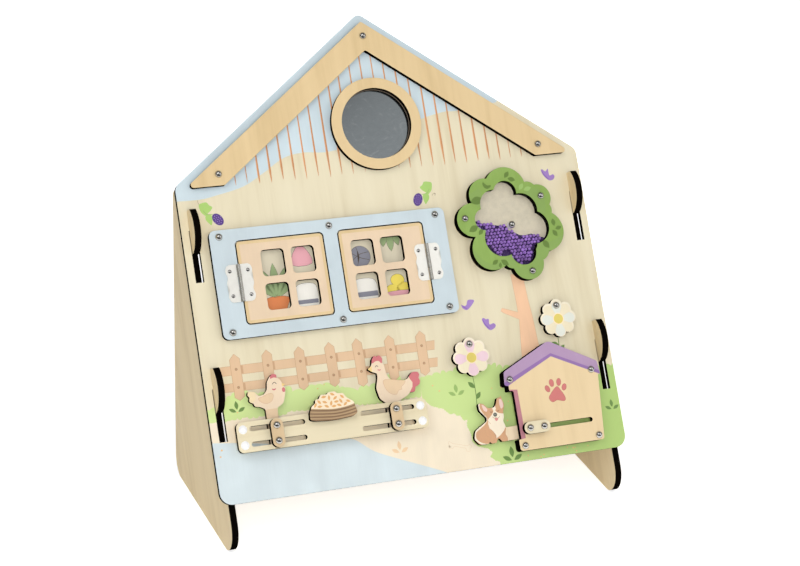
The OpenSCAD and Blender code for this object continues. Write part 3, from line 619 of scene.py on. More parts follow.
def oval(u, v, ru, rv=None, turn=0.0, count=24):
    """An ellipse."""
    angles = [math.tau * k / count for k in range(count)]
    return turned([(ru * math.cos(a), (rv or ru) * math.sin(a)) for a in angles], u, v, turn)


def stroke(points, wide, tip=0.25, steps=5):
    """A brush line through the points, wide in its middle and tip of that at its ends."""
    line = smooth(points, False, steps) if len(points) > 2 else points
    if len(line) < 8:
        (a, b), (c, d) = line[0], line[-1]
        line = [(a + (c - a) * k / 8, b + (d - b) * k / 8) for k in range(9)]
    left, right = [], []
    last = len(line) - 1
    for i, (u, v) in enumerate(line):
        a, b = line[max(i - 1, 0)], line[min(i + 1, last)]
        du, dv = b[0] - a[0], b[1] - a[1]
        size = math.hypot(du, dv) or 1
        half = wide / 2 * (tip + (1 - tip) * math.sin(math.pi * i / last) ** 0.7)
        left.append((u - dv / size * half, v + du / size * half))
        right.append((u + dv / size * half, v - du / size * half))
    return right + left[::-1]


def strokes(wide, tip, lines):
    """Brush lines that share their width."""
    return [stroke(line, wide, tip) for line in lines]


def blade(u, v, length, width, angle, full=0.5, count=9):
    """A leaf that grows from a point; full is where along it the leaf is widest."""
    power = math.log(0.5) / math.log(full)
    side = [
        (length * k / count, width / 2 * math.sin(math.pi * (k / count) ** power))
        for k in range(1, count)
    ]
    flat = [(0, 0)] + [(x, -y) for x, y in side] + [(length, 0)] + side[::-1]
    return turned(flat, u, v, angle)


def leaf(u, v, length, width, angle):
    """A leaf whose middle is the point."""
    a = math.radians(angle)
    return blade(u - length / 2 * math.cos(a), v - length / 2 * math.sin(a), length, width, angle)


def panel(u0, v0, u1, v1, r=1.0):
    """An upright box with round corners."""
    corners = (
        (u1 - r, v0 + r, -90), (u1 - r, v1 - r, 0), (u0 + r, v1 - r, 90), (u0 + r, v0 + r, 180)
    )
    turns = [(u, v, math.radians(start + k * 22.5)) for u, v, start in corners for k in range(5)]
    return [(u + r * math.cos(a), v + r * math.sin(a)) for u, v, a in turns]


def moved(outline, u, v):
    """The outline shifted."""
    return [(a + u, b + v) for a, b in outline]


def grown(outline, by):
    """The outline moved outward by that much."""
    if area_of(outline) < 0:
        outline = outline[::-1]
    count = len(outline)
    result = []
    for i, (u, v) in enumerate(outline):
        a, b = outline[i - 1], outline[(i + 1) % count]
        du, dv = b[0] - a[0], b[1] - a[1]
        size = math.hypot(du, dv) or 1
        result.append((u + dv / size * by, v - du / size * by))
    return result


def bushy(points, seed, size=9.0, height=4.6):
    """A line of small round humps along the points."""
    draw = random.Random(seed)
    line = []
    for (u0, v0), (u1, v1) in zip(points, points[1:]):
        run = math.hypot(u1 - u0, v1 - v0)
        count = max(1, round(run / size))
        for k in range(count):
            high = height * draw.uniform(0.2, 1.0)
            nu, nv = -(v1 - v0) / run, (u1 - u0) / run
            low = 0.55 * high
            for part, lift in ((0, 0), (0.12, low), (0.35, high), (0.65, high), (0.88, low)):
                t = (k + part + draw.uniform(-0.07, 0.07) * (part > 0)) / count
                line.append((u0 + (u1 - u0) * t + nu * lift, v0 + (v1 - v0) * t + nv * lift))
    return line + [points[-1]]


def slabs(name, outlines, low, high):
    """An object of upright-sided slabs, one for each outline."""
    build = bmesh.new()
    for outline in outlines:
        if area_of(outline) < 0:
            outline = outline[::-1]
        bottom = [build.verts.new(at(u, v, low)) for u, v in outline]
        top = [build.verts.new(at(u, v, high)) for u, v in outline]
        build.faces.new(bottom[::-1])
        build.faces.new(top)
        for i in range(len(outline)):
            build.faces.new((bottom[i - 1], bottom[i], top[i], top[i - 1]))
    bmesh.ops.triangulate(build, faces=build.faces)
    return add_piece(name, mesh_of(name, build))


def trim(piece, node, lift):
    """Cuts a printed piece off at the outline and the holes of the node under it."""
    stencil = add_piece("stencil", NODES[node].data.copy())
    build = bmesh.new()
    build.from_mesh(stencil.data)
    bmesh.ops.remove_doubles(build, verts=build.verts, dist=WELD)
    build.to_mesh(stencil.data)
    build.free()
    stencil.location = OUT * lift * MM
    cut = piece.modifiers.new("cut", "BOOLEAN")
    cut.operation = "INTERSECT"
    cut.solver = "EXACT"
    cut.use_self = True
    cut.object = stencil
    shown = piece.evaluated_get(bpy.context.evaluated_depsgraph_get())
    mesh = bpy.data.meshes.new_from_object(shown)
    piece.modifiers.clear()
    piece.data = mesh
    mesh.shade_flat()
    mesh.name = piece.name
    bpy.data.objects.remove(stencil)


def join(piece, node):
    """The piece moves with a node."""
    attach(piece, BODY_OF[node])


def ink(name, colour, outlines, layer=1, cut=False, line=None, wide=0.3, node="front_panel",
        by=(0, 0)):
    """Prints outlines on the front face of a node, edged with a second ink if line names one."""
    outlines = [moved(outline, *by) for outline in outlines]
    if line:
        edged = [grown(outline, wide) for outline in outlines]
        ink(name + "_line", line, edged, layer, cut, node=node)
        layer += 1
    front = place(node)[1][2]
    high = front + layer * INK_STEP
    piece = slabs(name, outlines, front - INK_ROOT, high + (CUT_EXCESS if cut else 0))
    if cut:
        trim(piece, node, layer * INK_STEP)
    coat(piece.data, INK[colour])
    join(piece, node)


INK = {name: printed("ink_" + name, rgb) for name, rgb in {
    "sky": (203, 218, 224), "rim": (112, 100, 86), "path": (243, 229, 203),
    "pond": (213, 225, 228), "grass_leaf": (154, 186, 106), "grass_dark": (110, 144, 74),
    "fence": (224, 190, 153), "fence_line": (194, 150, 114), "fence_shade": (204, 164, 128),
    "nail": (150, 122, 96), "trunk": (240, 196, 158), "trunk_line": (216, 164, 124),
    "butterfly": (162, 128, 196), "butterfly_dark": (142, 106, 182), "grape": (90, 62, 138),
    "grape_light": (170, 144, 204), "vine": (172, 208, 114), "tendril": (160, 138, 106),
    "sand_leaf": (238, 206, 164), "sand_line": (232, 206, 172), "fleck": (238, 196, 132),
    "yellow": (223, 203, 104), "pink": (238, 208, 216), "pale": (224, 226, 214),
    "petal_cream": (241, 230, 198), "petal_sand": (234, 222, 190), "petal_line": (238, 214, 186),
    "petal_halo": (250, 228, 194), "cream": (246, 232, 208), "grain": (246, 226, 195),
    "comb": (208, 118, 122), "beak": (240, 208, 140), "wing": (230, 201, 164),
    "tail": (238, 216, 174), "wing_line": (206, 160, 124), "dark": (92, 78, 70),
    "face_line": (140, 100, 74), "oat": (226, 172, 108), "bowl_dark": (134, 106, 78),
    "band": (178, 148, 181), "band_dark": (148, 112, 170), "jamb": (188, 126, 136),
    "paw": (206, 120, 116), "paw_line": (170, 96, 92), "tan": (213, 164, 124),
    "ear": (238, 206, 194), "nose": (92, 92, 84), "nose_light": (138, 138, 126),
    # the dark violet (62, 34, 96) is painted shade for the gaps between the crown's beads
    "tongue": (222, 146, 140), "bead_gap_shade": (62, 34, 96), "crown_leaf": (100, 128, 54),
    "crown_light": (154, 187, 104), "crown_shade": (136, 166, 86), "clay": (222, 132, 78),
    "grey": (136, 136, 146), "white": (240, 236, 226), "rose": (232, 168, 176),
    "lemon": (238, 216, 92), "room": (216, 206, 180), "soft_green": (150, 170, 120),
}.items()}
INK["siding"] = printed("ink_siding", (217, 158, 108), grain=0.06)
INK["siding_dark"] = printed("ink_siding_dark", (200, 138, 88), grain=0.06)
INK["grass"] = printed("ink_grass", (210, 230, 154), (178, 206, 120), across=(-20, 190))
INK["door_peach"] = printed("print_door_peach", (229, 204, 173))


def spike(u, low, high, wide):
    """A brush line that hangs from its narrow top to a pointed foot."""
    belly, top, foot = low + 0.24 * (high - low), 0.28 * wide, 0.06 * wide
    return [
        (u - foot, low), (u + foot, low), (u + wide / 2, belly), (u + top, high), (u - top, high),
        (u - wide / 2, belly)
    ]


def print_house():
    """The sky over the gable, the mirror's face and the siding lines under the roof."""
    sky = smooth([
        (-215, 293.6), (-187.7, 293.2), (-170.8, 295.7), (-143.2, 301.8), (-121.3, 313.1),
        (-98.9, 326.1), (-77.8, 329.8), (-50.6, 328.5), (0, 338), (40, 350), (55.8, 354.7),
        (75.4, 358.3), (89.3, 358.2), (132, 363.3)
    ], False)
    ink("sky", "sky", [sky + [(140, 374), (0, 480), (-230, 480)]], 1, True)
    low, high = place("mirror_disc")
    centre = middle("mirror_disc")
    ink("mirror_rim", "rim", [oval(*centre, RIM_RADIUS, count=64)], 4, True)
    face = oval(*centre, (high[0] - low[0]) / 2, count=96)
    piece = slabs("mirror_face", [face], low[2], MIRROR_FRONT)
    coat(piece.data, MIRROR)
    join(piece, "mirror_disc")
    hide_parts("mirror_disc")
    draw = random.Random(3)
    lines, darker = [], []
    for k in range(1, SIDING_LINES + 1):
        for side in (-1, 1):
            u = side * (SIDING_PITCH * (k - 0.5) + draw.uniform(-0.4, 0.4))
            low = SIDING_FOOT + draw.uniform(-1.2, 1.2)
            high = GABLE_TOP - GABLE_SLOPE * abs(u)
            wide = draw.uniform(*SIDING_WIDE) if k < SIDING_THIN_FROM else 1.0
            lines.append(spike(u, low, high, wide))
            darker.append(spike(u + 0.25 * wide, low + 1, high, 0.45 * wide))
    ink("siding", "siding", lines, 2, True)
    ink("siding_dark", "siding_dark", darker, 3, True)


def print_ground():
    """The path, the pond and the bushes."""
    ink("path", "path", [[
        (-215, -5), (80, -5), (74, 14), (60, 40), (44, 62), (24, 78), (0, 84), (-215, 84)
    ]], 1, True)
    pond = smooth([
        (-215, 60.4), (-180, 56), (-125.7, 47.5), (-95, 47.4), (-72.7, 45), (-53, 30.5), (-25, 18),
        (9.6, 3.4), (24, -4)
    ], False)
    ink("pond", "pond", [pond + [(24, -10), (-215, -10)]], 2, True)
    left = bushy([
        (-215, 88), (-202, 93), (-190.9, 98), (-185.3, 102), (-167.7, 101.5), (-150, 99),
        (-132, 103), (-125.7, 98), (-109.4, 101.5), (-94.9, 101), (-83.9, 98), (-79, 93.5),
        (-72.6, 95.5), (-60.3, 91), (-48.3, 93), (-34, 98), (-21.6, 102), (-15.5, 94.5), (3, 92)
    ], 5)
    low = bushy([
        (3, 78), (-48.1, 76.7), (-62.7, 78.3), (-113.3, 79.3), (-128.8, 80.8), (-137.8, 78.3),
        (-172.8, 80.2), (-182.7, 80.3), (-192.7, 78.8), (-215, 79.6)
    ], 6, 5.5, 2.2)
    ink("bush_left", "grass", [left + low], 2, True)
    right = bushy([
        (2.9, 92), (9, 95.5), (25.5, 96.2), (39, 97.1), (60, 100), (74.4, 98.4), (79.8, 98.1),
        (84.8, 95.2), (91.2, 93.1), (110, 94), (150, 82), (208, 81.6), (215, 80)
    ], 7)
    edge = bushy([
        (72.6, 3.1), (67.6, 5.7), (63.5, 9.4), (67.6, 13.3), (62.3, 17.8), (52.8, 21), (47.6, 26.1),
        (48.2, 33.7), (44.9, 41.7), (46.1, 48.5), (42.1, 48.4), (39.6, 53.8), (36.9, 53.5),
        (33.4, 56.5), (29.9, 55.7), (27, 58), (23.7, 62.2), (19.9, 63.4), (10.8, 67), (3.4, 75)
    ], 8, 2.6, 0.9)
    ink("bush_right", "grass", [right + [(215, -5), (73, -5)] + edge], 2, True)


def sprig(u, v, size, spread=62):
    """Three leaves on one foot."""
    return [
        blade(u, v + size * 0.25, size, size * 0.44, 92),
        blade(u - size * 0.12, v, size * 0.92, size * 0.4, 90 + spread),
        blade(u + size * 0.12, v, size * 0.92, size * 0.4, 90 - spread)
    ]


def print_plants():
    """Sprigs, flower stems and flecks in the grass, a bone on the path."""
    ink("sprig_light", "grass_leaf", sprig(39.4, 73.5, 9), 4)
    dark = sprig(86.6, 2.6, 11) + sprig(201.1, 38.6, 8) + sprig(-181.6, 86, 8.4)
    ink("sprig_dark", "grass_dark", dark, 4, True)
    ink("sprig_sand", "sand_leaf", sprig(-27.4, 26, 9), 4)
    stems = strokes(0.7, 0.7, [
        [(58.8, 91), (59.3, 74), (58.2, 60)], [(155.7, 117), (155.6, 112), (155.1, 107)]
    ])
    leaves = [
        blade(59.2, 78, 9.4, 4.4, 132), blade(58.8, 67, 8.6, 4.2, 52),
        blade(155.4, 109, 8.4, 4.2, 150), blade(155.2, 104, 8, 4, 40)
    ]
    ink("stems", "grass_dark", stems, 4)
    ink("stem_leaves", "grass_dark", leaves, 5)
    draw = random.Random(11)
    spots = [(-181.6, 85.4), (-202, 52), (-204, 46), (-100, 98), (-93, 101), (22, 80), (16, 86)]
    spots += [(84 + draw.uniform(-9, 9), 62 + draw.uniform(-22, 22)) for _ in range(9)]
    spots += [(draw.uniform(100, 204), draw.uniform(2, 8)) for _ in range(8)]
    flecks = [oval(u, v, draw.uniform(0.5, 0.95), draw.uniform(0.5, 0.95)) for u, v in spots]
    ink("flecks", "fleck", flecks, 4)
    bone = smooth([
        (26.2, 27.6), (23.6, 29.6), (22.9, 26.6), (24.2, 24.8), (23.2, 22.6), (26.4, 22.6),
        (28, 24.4), (34, 22.7), (39.6, 20.9), (40.4, 18), (43.4, 17.4), (43.6, 20.2), (45.8, 21.6),
        (44, 23.8), (41, 23), (34.4, 25), (28.6, 26.6)
    ])
    ink("bone", "path", [bone], 2, line="sand_line")


def print_fence():
    """A picket fence: two rails behind seven pointed pickets."""
    rails = [
        [(-192, 121.4), (24, 121.3), (25.4, 129.9), (-192, 129.8)],
        [(-192, 105.7), (24.3, 104.3), (25.8, 112.7), (-192, 113.4)]
    ]
    ink("fence_rails", "fence", rails, 3, True, line="fence_line", wide=0.25)
    pickets, nails, shadows = [], [], []
    half = PICKET_HALF
    for k, (low, drift) in enumerate(PICKETS):
        u = FIRST_PICKET + PICKET_PITCH * k + drift
        tip, lean = PICKET_TIP + 0.4 * math.sin(2.1 * k), 0.5 * math.sin(1.3 * k)
        pickets.append([
            (u + lean, tip), (u - half + lean, tip - 5), (u - half * 0.98, tip - 22),
            (u - half * 0.96, low + 3), (u - 0.3, low), (u + half * 0.96, low + 3.4),
            (u + half * 1.02, tip - 22), (u + half + lean, tip - 4.6)
        ])
        nails += [oval(u + 0.3, 126.4, 1.0), oval(u, 109.0, 1.0)]
        for bottom, top in RAIL_SHADES:
            if k < len(PICKETS) - 1:
                shadows.append([(u + 5, bottom), (u + 7, bottom), (u + 7, top), (u + 5, top)])
    ink("fence_shadows", "fence_shade", shadows, 5)
    ink("fence_pickets", "fence", pickets, 6, line="fence_line")
    ink("fence_nails", "fence_line", nails, 8, line="nail")


def print_garlands():
    """Vine leaves with grapes, the butterflies and the tree's trunk."""
    big = [
        (-189.4, 287.8), (-186.1, 289.5), (-181.6, 289.8), (-179.3, 286.8), (-176.5, 284.7),
        (-178.4, 281.6), (-181.6, 279.1), (-183.6, 276.6), (-186.1, 278.5), (-188.4, 281.5)
    ]
    small = [
        (-182.9, 277.6), (-179.6, 277.8), (-177.9, 274.4), (-179.5, 267.4), (-181.9, 269.3),
        (-184.2, 272.3), (-184.6, 275.6)
    ]
    leaves = [smooth(big), smooth(small)]
    leaves += [smooth([(GARLAND_TURN - u, v - 1) for u, v in shape]) for shape in (big, small)]
    berries, shine = [], []
    for u, v, turn in GRAPES:
        berries.append(smooth(oval(u, v, 6.6, 4.7, turn, 14), True, 2))
        rows = [(2.2 * k + 1.1 * (j % 2), 2.0 * j) for j in range(-2, 3) for k in range(-3, 4)]
        inside = [(x, y) for x, y in rows if (x / 6) ** 2 + (y / 4.1) ** 2 < 1]
        shine += [oval(*spot, 0.45, count=8) for spot in turned(inside, u, v, turn)]
    lines = strokes(0.4, 0.6, [
        [(-189.8, 292.9), (-189.7, 290.4), (-189, 288.1)],
        [(47.6, 274.2), (49.4, 276.3), (51.1, 275.9), (50.2, 273.6)]
    ])
    stems = strokes(0.7, 0.6, [
        [(-186, 282.3), (-182.8, 278.2), (-176.8, 277.6)],
        [(45.6, 281.3), (42.4, 277.2), (36.6, 276.4)]
    ])
    ink("vine_leaves", "vine", leaves, 3)
    ink("vine_stems", "grass_leaf", stems, 4)
    ink("grapes", "grape", berries, 4)
    ink("grapes_shine", "grape_light", shine, 5)
    ink("tendrils", "tendril", lines, 3)
    wings = [
        [(168.2, 289.2), (170, 289.4), (172.7, 287.1), (175.8, 289.7), (176, 285.9),
         (176.7, 282.5), (180.5, 283.4), (181.8, 280.8), (179.5, 278), (175.4, 277.6),
         (171.5, 280.9), (168.9, 285.8)],
        [(78.3, 145.1), (80.7, 145.9), (82.3, 144.4), (85.3, 144.3), (85.4, 138.9), (89.9, 139.6),
         (91.8, 137.1), (89.7, 134.5), (85.3, 133.1), (81.8, 136.1), (79.2, 140.9)],
        [(59, 162), (60.8, 160.5), (64.3, 160.7), (66.9, 165.6), (73.1, 164.9), (71.1, 161.2),
         (64.8, 156.1), (60.4, 157.9)]
    ]
    ink("butterflies", "butterfly", [smooth(wing) for wing in wings], 3)
    folds = [
        stroke([(168.6, 288.4), (170.4, 283.8), (175, 278.6)], 1.5, 0.5),
        stroke([(79, 144.4), (80.6, 139.6), (84.8, 134.4)], 1.4, 0.5),
        stroke([(60.2, 161), (62, 158.8), (65, 156.8)], 1.3, 0.5)
    ]
    ink("butterfly_folds", "butterfly_dark", folds, 4)
    trunk = [
        (116.6, 186), (117.7, 159.7), (117.8, 140.2), (114.6, 108.2), (113.6, 96), (134.8, 96),
        (133.6, 114.3), (132, 143.7), (130.5, 158.3), (129, 186)
    ]
    branch = [(101.3, 153.4), (99.8, 150.8), (102.5, 148.5), (117.6, 140.5), (119, 146.8)]
    ink("trunk", "trunk", [trunk, branch], 1, True, line="trunk_line", wide=0.25)


def print_windows():
    """A shelf scene behind each pair of panes: pots, jars and fruit."""
    half_u, half_v = ROOM_HALF
    low, high = ROOM_MIDDLE - half_v, ROOM_MIDDLE + half_v
    rooms = [panel(u - half_u, low, u + half_u, high, 3.5) for u in ROOM_ACROSS]
    ink("rooms", "room", rooms, 1)
    pot = [(-137, 190), (-115, 190), (-118, 178), (-120, 168), (-132, 168), (-134.6, 178)]
    ink("clay_pots", "clay", [smooth(pot, True, 4)], 2, line="dark")
    fronds = [
        blade(-126 + 0.8 * k, 190, 34 - 3 * abs(k), 8, 90 - 21 * k, 0.55) for k in (-2, -1, 0, 1, 2)
    ]
    ink("fronds", "soft_green", fronds, 2, line="dark")
    jars = [
        [(-104, 200), (-88, 200), (-85, 190), (-86, 172), (-90, 168), (-102, 168), (-106, 172),
         (-107, 190)],
        [(-46, 198), (-28, 198), (-24, 188), (-26, 174), (-30, 168), (-44, 168), (-48, 174),
         (-49, 188)]
    ]
    ink("jars", "white", [smooth(jar, True, 4) for jar in jars], 2, line="dark")
    bands = [panel(-106.6, 181, -85.6, 185, 0.8), panel(-48.8, 181, -24.4, 186, 0.8)]
    ink("jar_bands", "grey", bands, 4)
    lamps = [smooth([(-101, 236), (-92, 236), (-86, 220), (-107, 220)], True, 3)]
    ink("lamp", "rose", lamps, 2, line="dark")
    ink("lamp_cord", "dark", [stroke([(-96.5, 247), (-96.5, 236)], 0.7, 0.9)], 2)
    ink("yarn", "grey", [oval(-37, 221, 10.5)], 2, line="dark")
    threads = strokes(0.5, 0.7, [
        [(-46, 217), (-38, 223), (-28, 225)], [(-45, 225), (-37, 220), (-28, 217)],
        [(-40, 231), (-38, 221), (-41, 212)]
    ])
    ink("yarn_threads", "dark", threads, 4)
    fruit = [oval(-9, 184, 7, 6), oval(3, 185, 7.4, 6.2), oval(-2.6, 194, 7, 5.8)]
    ink("fruit", "lemon", fruit, 2, line="dark")
    bowl = [smooth([(-18, 182), (13, 182), (9, 171), (2, 168), (-8, 168), (-14, 171)], True, 4)]
    ink("fruit_bowl", "rose", bowl, 4, line="dark")
    hanging = [blade(-4 + 5 * k, 247, 24 - 5 * abs(k), 7, -90 + 9 * k, 0.6) for k in (-1, 0, 1)]
    ink("hanging_leaves", "soft_green", hanging, 2, line="dark")
    for side in ("left", "right"):
        node = "window_door_" + side
        (u0, v0, _), (u1, v1, _) = place(node)
        print_area = panel(u0 + 3, v0 + 3, u1 - 3, v1 - 3, 0.8)
        ink("door_print_" + side, "door_peach", [print_area], 1, True, node=node)


def print_crown():
    """Leaves and soft shades on the crown's ring; painted shade between the beads."""
    hub = middle("crown_hub")
    ring = partial(ink, node="crown_front_ring", by=hub)
    shades = [
        [(-44, 31.6), (-30.4, 38.6), (-28, 29.6), (-30.3, 17.5), (-35.7, 22.8), (-41.9, 26.7)],
        [(-48, -19), (-42, -28.2), (-35.4, -34.7), (-27.4, -38), (-16.3, -34.3), (-5.4, -31.3),
         (-3.7, -41.4), (-11.7, -60), (-44, -56), (-60, -32)],
        [(62, -12), (50.8, -16.7), (34.7, -22.4), (29, -17.1), (19, -24.3), (16, -35.5),
         (11.8, -42.3), (1, -44.4), (-7.8, -45), (-9.1, -70), (30, -74), (66, -39.8)],
        [(17, 30.5), (28.2, 33.9), (35.6, 30.7), (38.4, 22), (37, 8), (30.3, 9), (24, 19.8)]
    ]
    # painted shade: a dark violet sheet on the back sheet darkens the gaps between the beads
    gap_shade = [(a, b - 1.2) for a, b in BEAD_TOP] + [(46, -60), (-54, -60)]
    ink("bead_gap_shade", "bead_gap_shade", [gap_shade], 1, True, node="crown_back", by=hub)
    ring("crown_shades", "crown_shade", [smooth(s) for s in shades], 1, True)
    tips = (
        (-0.9, 47.5, 4.5, 53.6), (2.4, 46.8, 10.2, 43.9), (-41.4, 26.2, -27, 28.4),
        (-47.5, -3.1, -37.2, 1.8), (-37.9, -7.4, -32.7, -2), (-28.8, -38.6, -22.1, -34.6),
        (-21.3, -43, -19.9, -37.2), (-11.6, -41.2, -19, -34.8), (43.3, 1.2, 44, -6.6),
        (51.6, -8, 44.6, -9.6), (41.4, -10.3, 45.6, -17.3), (28.8, -19.4, 34.8, -28.4)
    )
    leaves = []
    for a, b, c, d in tips:
        length = math.hypot(c - a, d - b)
        angle = math.degrees(math.atan2(d - b, c - a))
        leaves.append(blade(a, b, length, 0.56 * length, angle))
    leaves.append(smooth([
        (-24.4, 45.2), (-22.6, 43.3), (-20.3, 41.5), (-17.2, 41.6), (-17.1, 39.9), (-20.9, 38),
        (-24.1, 39.8), (-25.4, 43.2)
    ]))
    ring("crown_leaves", "crown_leaf", leaves, 2, True)
    lights = [blade(12.8, 33.7, 8.2, 4.4, 52), blade(17.5, 33.2, 8.8, 4.6, 12)]
    ring("crown_lights", "crown_light", lights, 2)


def clean_rings():
    """Copies of the crown's rings without two chips that their hole's lobes leave by the hub."""
    hub = at(*middle("crown_hub"), 0)
    for node in ("crown_front_ring", "crown_spacer_ring"):
        mesh = NODES[node].data.copy()
        build = bmesh.new()
        build.from_mesh(mesh)
        chips = [
            v for v in build.verts
            if (v.co - hub - OUT * (v.co - hub).dot(OUT)).length < CHIP_REACH * MM
        ]
        bmesh.ops.delete(build, geom=chips, context="VERTS")
        build.to_mesh(mesh)
        build.free()
        piece = add_piece(node + "_clean", mesh)
        join(piece, node)
        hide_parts(node)
        NODES[node] = piece


def fill_beads():
    """Loose round beads, heaped up to their uneven top line in the crown's hollow."""
    scene = bpy.context.evaluated_depsgraph_get()
    wall = BVHTree.FromObject(NODES["crown_spacer_ring"], scene)
    heap = BVHTree.FromObject(NODES["crown_beads"], scene)
    u, v = middle("crown_hub")
    spans = list(zip(BEAD_TOP, BEAD_TOP[1:]))
    draw = random.Random(21)
    build = bmesh.new()
    for row in BEAD_ROWS:
        for column in BEAD_COLUMNS:
            a = BEAD_PITCH * (column + 0.5 * (row % 2)) + draw.uniform(-BEAD_JITTER, BEAD_JITTER)
            b = BEAD_ROW_PITCH * row + draw.uniform(-BEAD_JITTER, BEAD_JITTER)
            r = draw.uniform(*BEAD_RADII)
            centre = at(u + a, v + b, BEAD_HEIGHT)
            if not BEAD_TOP[0][0] < a < BEAD_TOP[-1][0] + BEAD_OVERRUN:
                continue
            p, q = next((s for s in spans if s[0][0] <= a < s[1][0]), spans[-1])
            top = p[1] + (q[1] - p[1]) * (a - p[0]) / (q[0] - p[0])
            near_wall = wall.find_nearest(centre)[3] < WALL_CLEAR * MM
            near_hub = math.hypot(a, b) < HUB_CLEAR
            held = any(heap.ray_cast(at(u + a, v + b - drop, 20), -OUT)[0] for drop in HEAP_DROPS)
            if b > top - BEAD_SINK or near_wall or near_hub or not held:
                continue
            bmesh.ops.create_icosphere(
                build, subdivisions=2, radius=r * MM, matrix=Matrix.Translation(centre)
            )
    mesh = mesh_of("beads", build)
    mesh.shade_smooth()
    coat(mesh, BEAD)
    piece = add_piece("beads", mesh)
    join(piece, "crown_beads")
    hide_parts("crown_beads")


def plate_hinges():
    """The wavy nickel plates of the hinge leaves."""
    for side in ("left", "right"):
        for half in ("frame", "door"):
            node = f"hinge_{side}_{half}_leaf"
            low, high = place(node)
            pin_u, pin_v = middle(f"hinge_{side}_pin")
            way = 1 if middle(node)[0] > pin_u else -1
            tall = (high[1] - low[1]) / 2
            edge = []
            for k in range(41):
                b = tall * (k / 20 - 1)
                corner = max(0.0, abs(b) - tall + LEAF_CORNER)
                inset = math.sqrt(max(0.0, LEAF_CORNER ** 2 - corner ** 2))
                wide = LEAF_REACH + LEAF_WAVE * math.cos(math.tau * b / LEAF_WAVE_LENGTH)
                edge.append((way * (wide - LEAF_CORNER + inset), b))
            edge = [(way * LEAF_INNER, -tall)] + edge + [(way * LEAF_INNER, tall)]
            outline = moved(edge, pin_u, pin_v)
            bottom, top = (low[2] + height for height in LEAF_LAYER)
            piece = slabs(f"plate_{side}_{half}", [outline], bottom, top)
            coat(piece.data, HINGE_NICKEL)
            join(piece, node)


def petal(u, v, reach, r, angle):
    """A drop from a point to a round end."""
    d = reach - r
    a = math.radians(angle)
    swing = math.pi / 2 + math.asin(r / d)
    turns = [a + swing * (k / 8 - 1) for k in range(17)]
    return [(u, v)] + [
        (u + d * math.cos(a) + r * math.cos(t), v + d * math.sin(a) + r * math.sin(t))
        for t in turns
    ]


def print_flowers():
    """Eight round petals and a yellow middle on each flower."""
    for node, strong, weak in (
        ("flower_pink", "pink", "petal_cream"), ("flower_white", "pale", "petal_sand")
    ):
        u, v = middle(node)
        v -= 1
        for name, fill, start, layer in (("slant", weak, 45, 1), ("cross", strong, 0, 3)):
            petals = [petal(u, v, 17.7, 5.2, start + 90 * k) for k in range(4)]
            ink(f"{node}_{name}", fill, petals, layer, line="petal_line", wide=0.2, node=node)
        ink(f"{node}_halo", "petal_halo", [oval(u, v, 5.9)], 5, node=node)
        ink(f"{node}_middle", "yellow", [oval(u, v, 5.0)], 6, node=node)


def print_hens():
    """Comb, beak, wing, tail and a closed eye on each hen."""
    left = partial(ink, node="hen_left", by=middle("hen_left_knob"))
    comb = [(3.4, 52.4), (3, 56.6), (7, 62), (12, 58), (10.4, 52.6), (6.9, 53.4)]
    left("left_comb", "comb", [comb], 1, True)
    left("left_beak", "beak", [[(13.9, 47.4), (24, 46.6), (24, 43.9), (13.8, 44)]], 1, True)
    left("left_wattle", "comb", [oval(14.9, 40.6, 1.6, 2.3)], 1, True)
    wing = smooth([
        (-10.7, 35.1), (-6, 36.6), (-1.5, 38.2), (2.6, 38.6), (4, 36.3), (2.2, 32.1), (-1.1, 30.1),
        (-4.7, 29.8), (-8.7, 31.9)
    ])
    left("left_wing", "wing", [wing], 2, line="wing_line", wide=0.25)
    stem = [(-10, 4), (12, 4), (12, 20), (6, 24), (-4, 24), (-10, 20)]
    left("left_stem", "wing", [stem], 1, True)
    tail = smooth([(-30, 30), (-17, 32), (-13, 38), (-16, 46), (-30, 50)])
    left("left_tail", "tail", [tail], 1, True)
    left("left_cheek", "comb", [stroke([(3.9, 42.6), (5.6, 41.8), (7.6, 42.6)], 1.3, 0.6)], 2)
    left("left_eye", "dark", [stroke([(4.6, 47), (6.9, 48.8), (8.9, 46.8)], 0.6, 0.6)], 2)
    right = partial(ink, node="hen_right", by=middle("hen_right_knob"))
    right("right_comb", "comb", [smooth([
        (-13.4, 54.6), (-14.6, 60), (-11, 64.5), (-7.6, 62.4), (-4.4, 65), (-0.4, 62), (-1.4, 57.4),
        (-3.6, 53.6), (-6.1, 56), (-9.2, 56.2)
    ])], 1, True)
    right("right_beak", "beak", [[(-14, 51.6), (-24, 51.6), (-24, 46.4), (-14.4, 46.6)]], 1, True)
    right("right_tail", "comb", [[
        (22.6, 34.6), (24.6, 31.4), (23.9, 27), (20.6, 22.4), (30, 14), (42, 30), (36, 52), (18, 46)
    ]], 1, True)
    wing = smooth([
        (-4.2, 36.6), (0.2, 37.1), (9.6, 35.4), (16.9, 33.5), (15.7, 31), (12.5, 28.4),
        (12.5, 26.1), (9.3, 25.4), (7.2, 22.3), (4, 22), (-0.3, 24.4), (-3.5, 29), (-4.7, 33.6)
    ])
    right("right_wing", "wing", [wing], 1, line="wing_line", wide=0.25)
    right("right_cheek", "comb", [stroke([(-8.6, 47.9), (-7, 47.2), (-5.4, 47.6)], 1.0, 0.6)], 1)
    right("right_eye", "dark", [stroke([(-10.7, 50.4), (-9, 51.9), (-7.6, 50.4)], 0.6, 0.6)], 1)


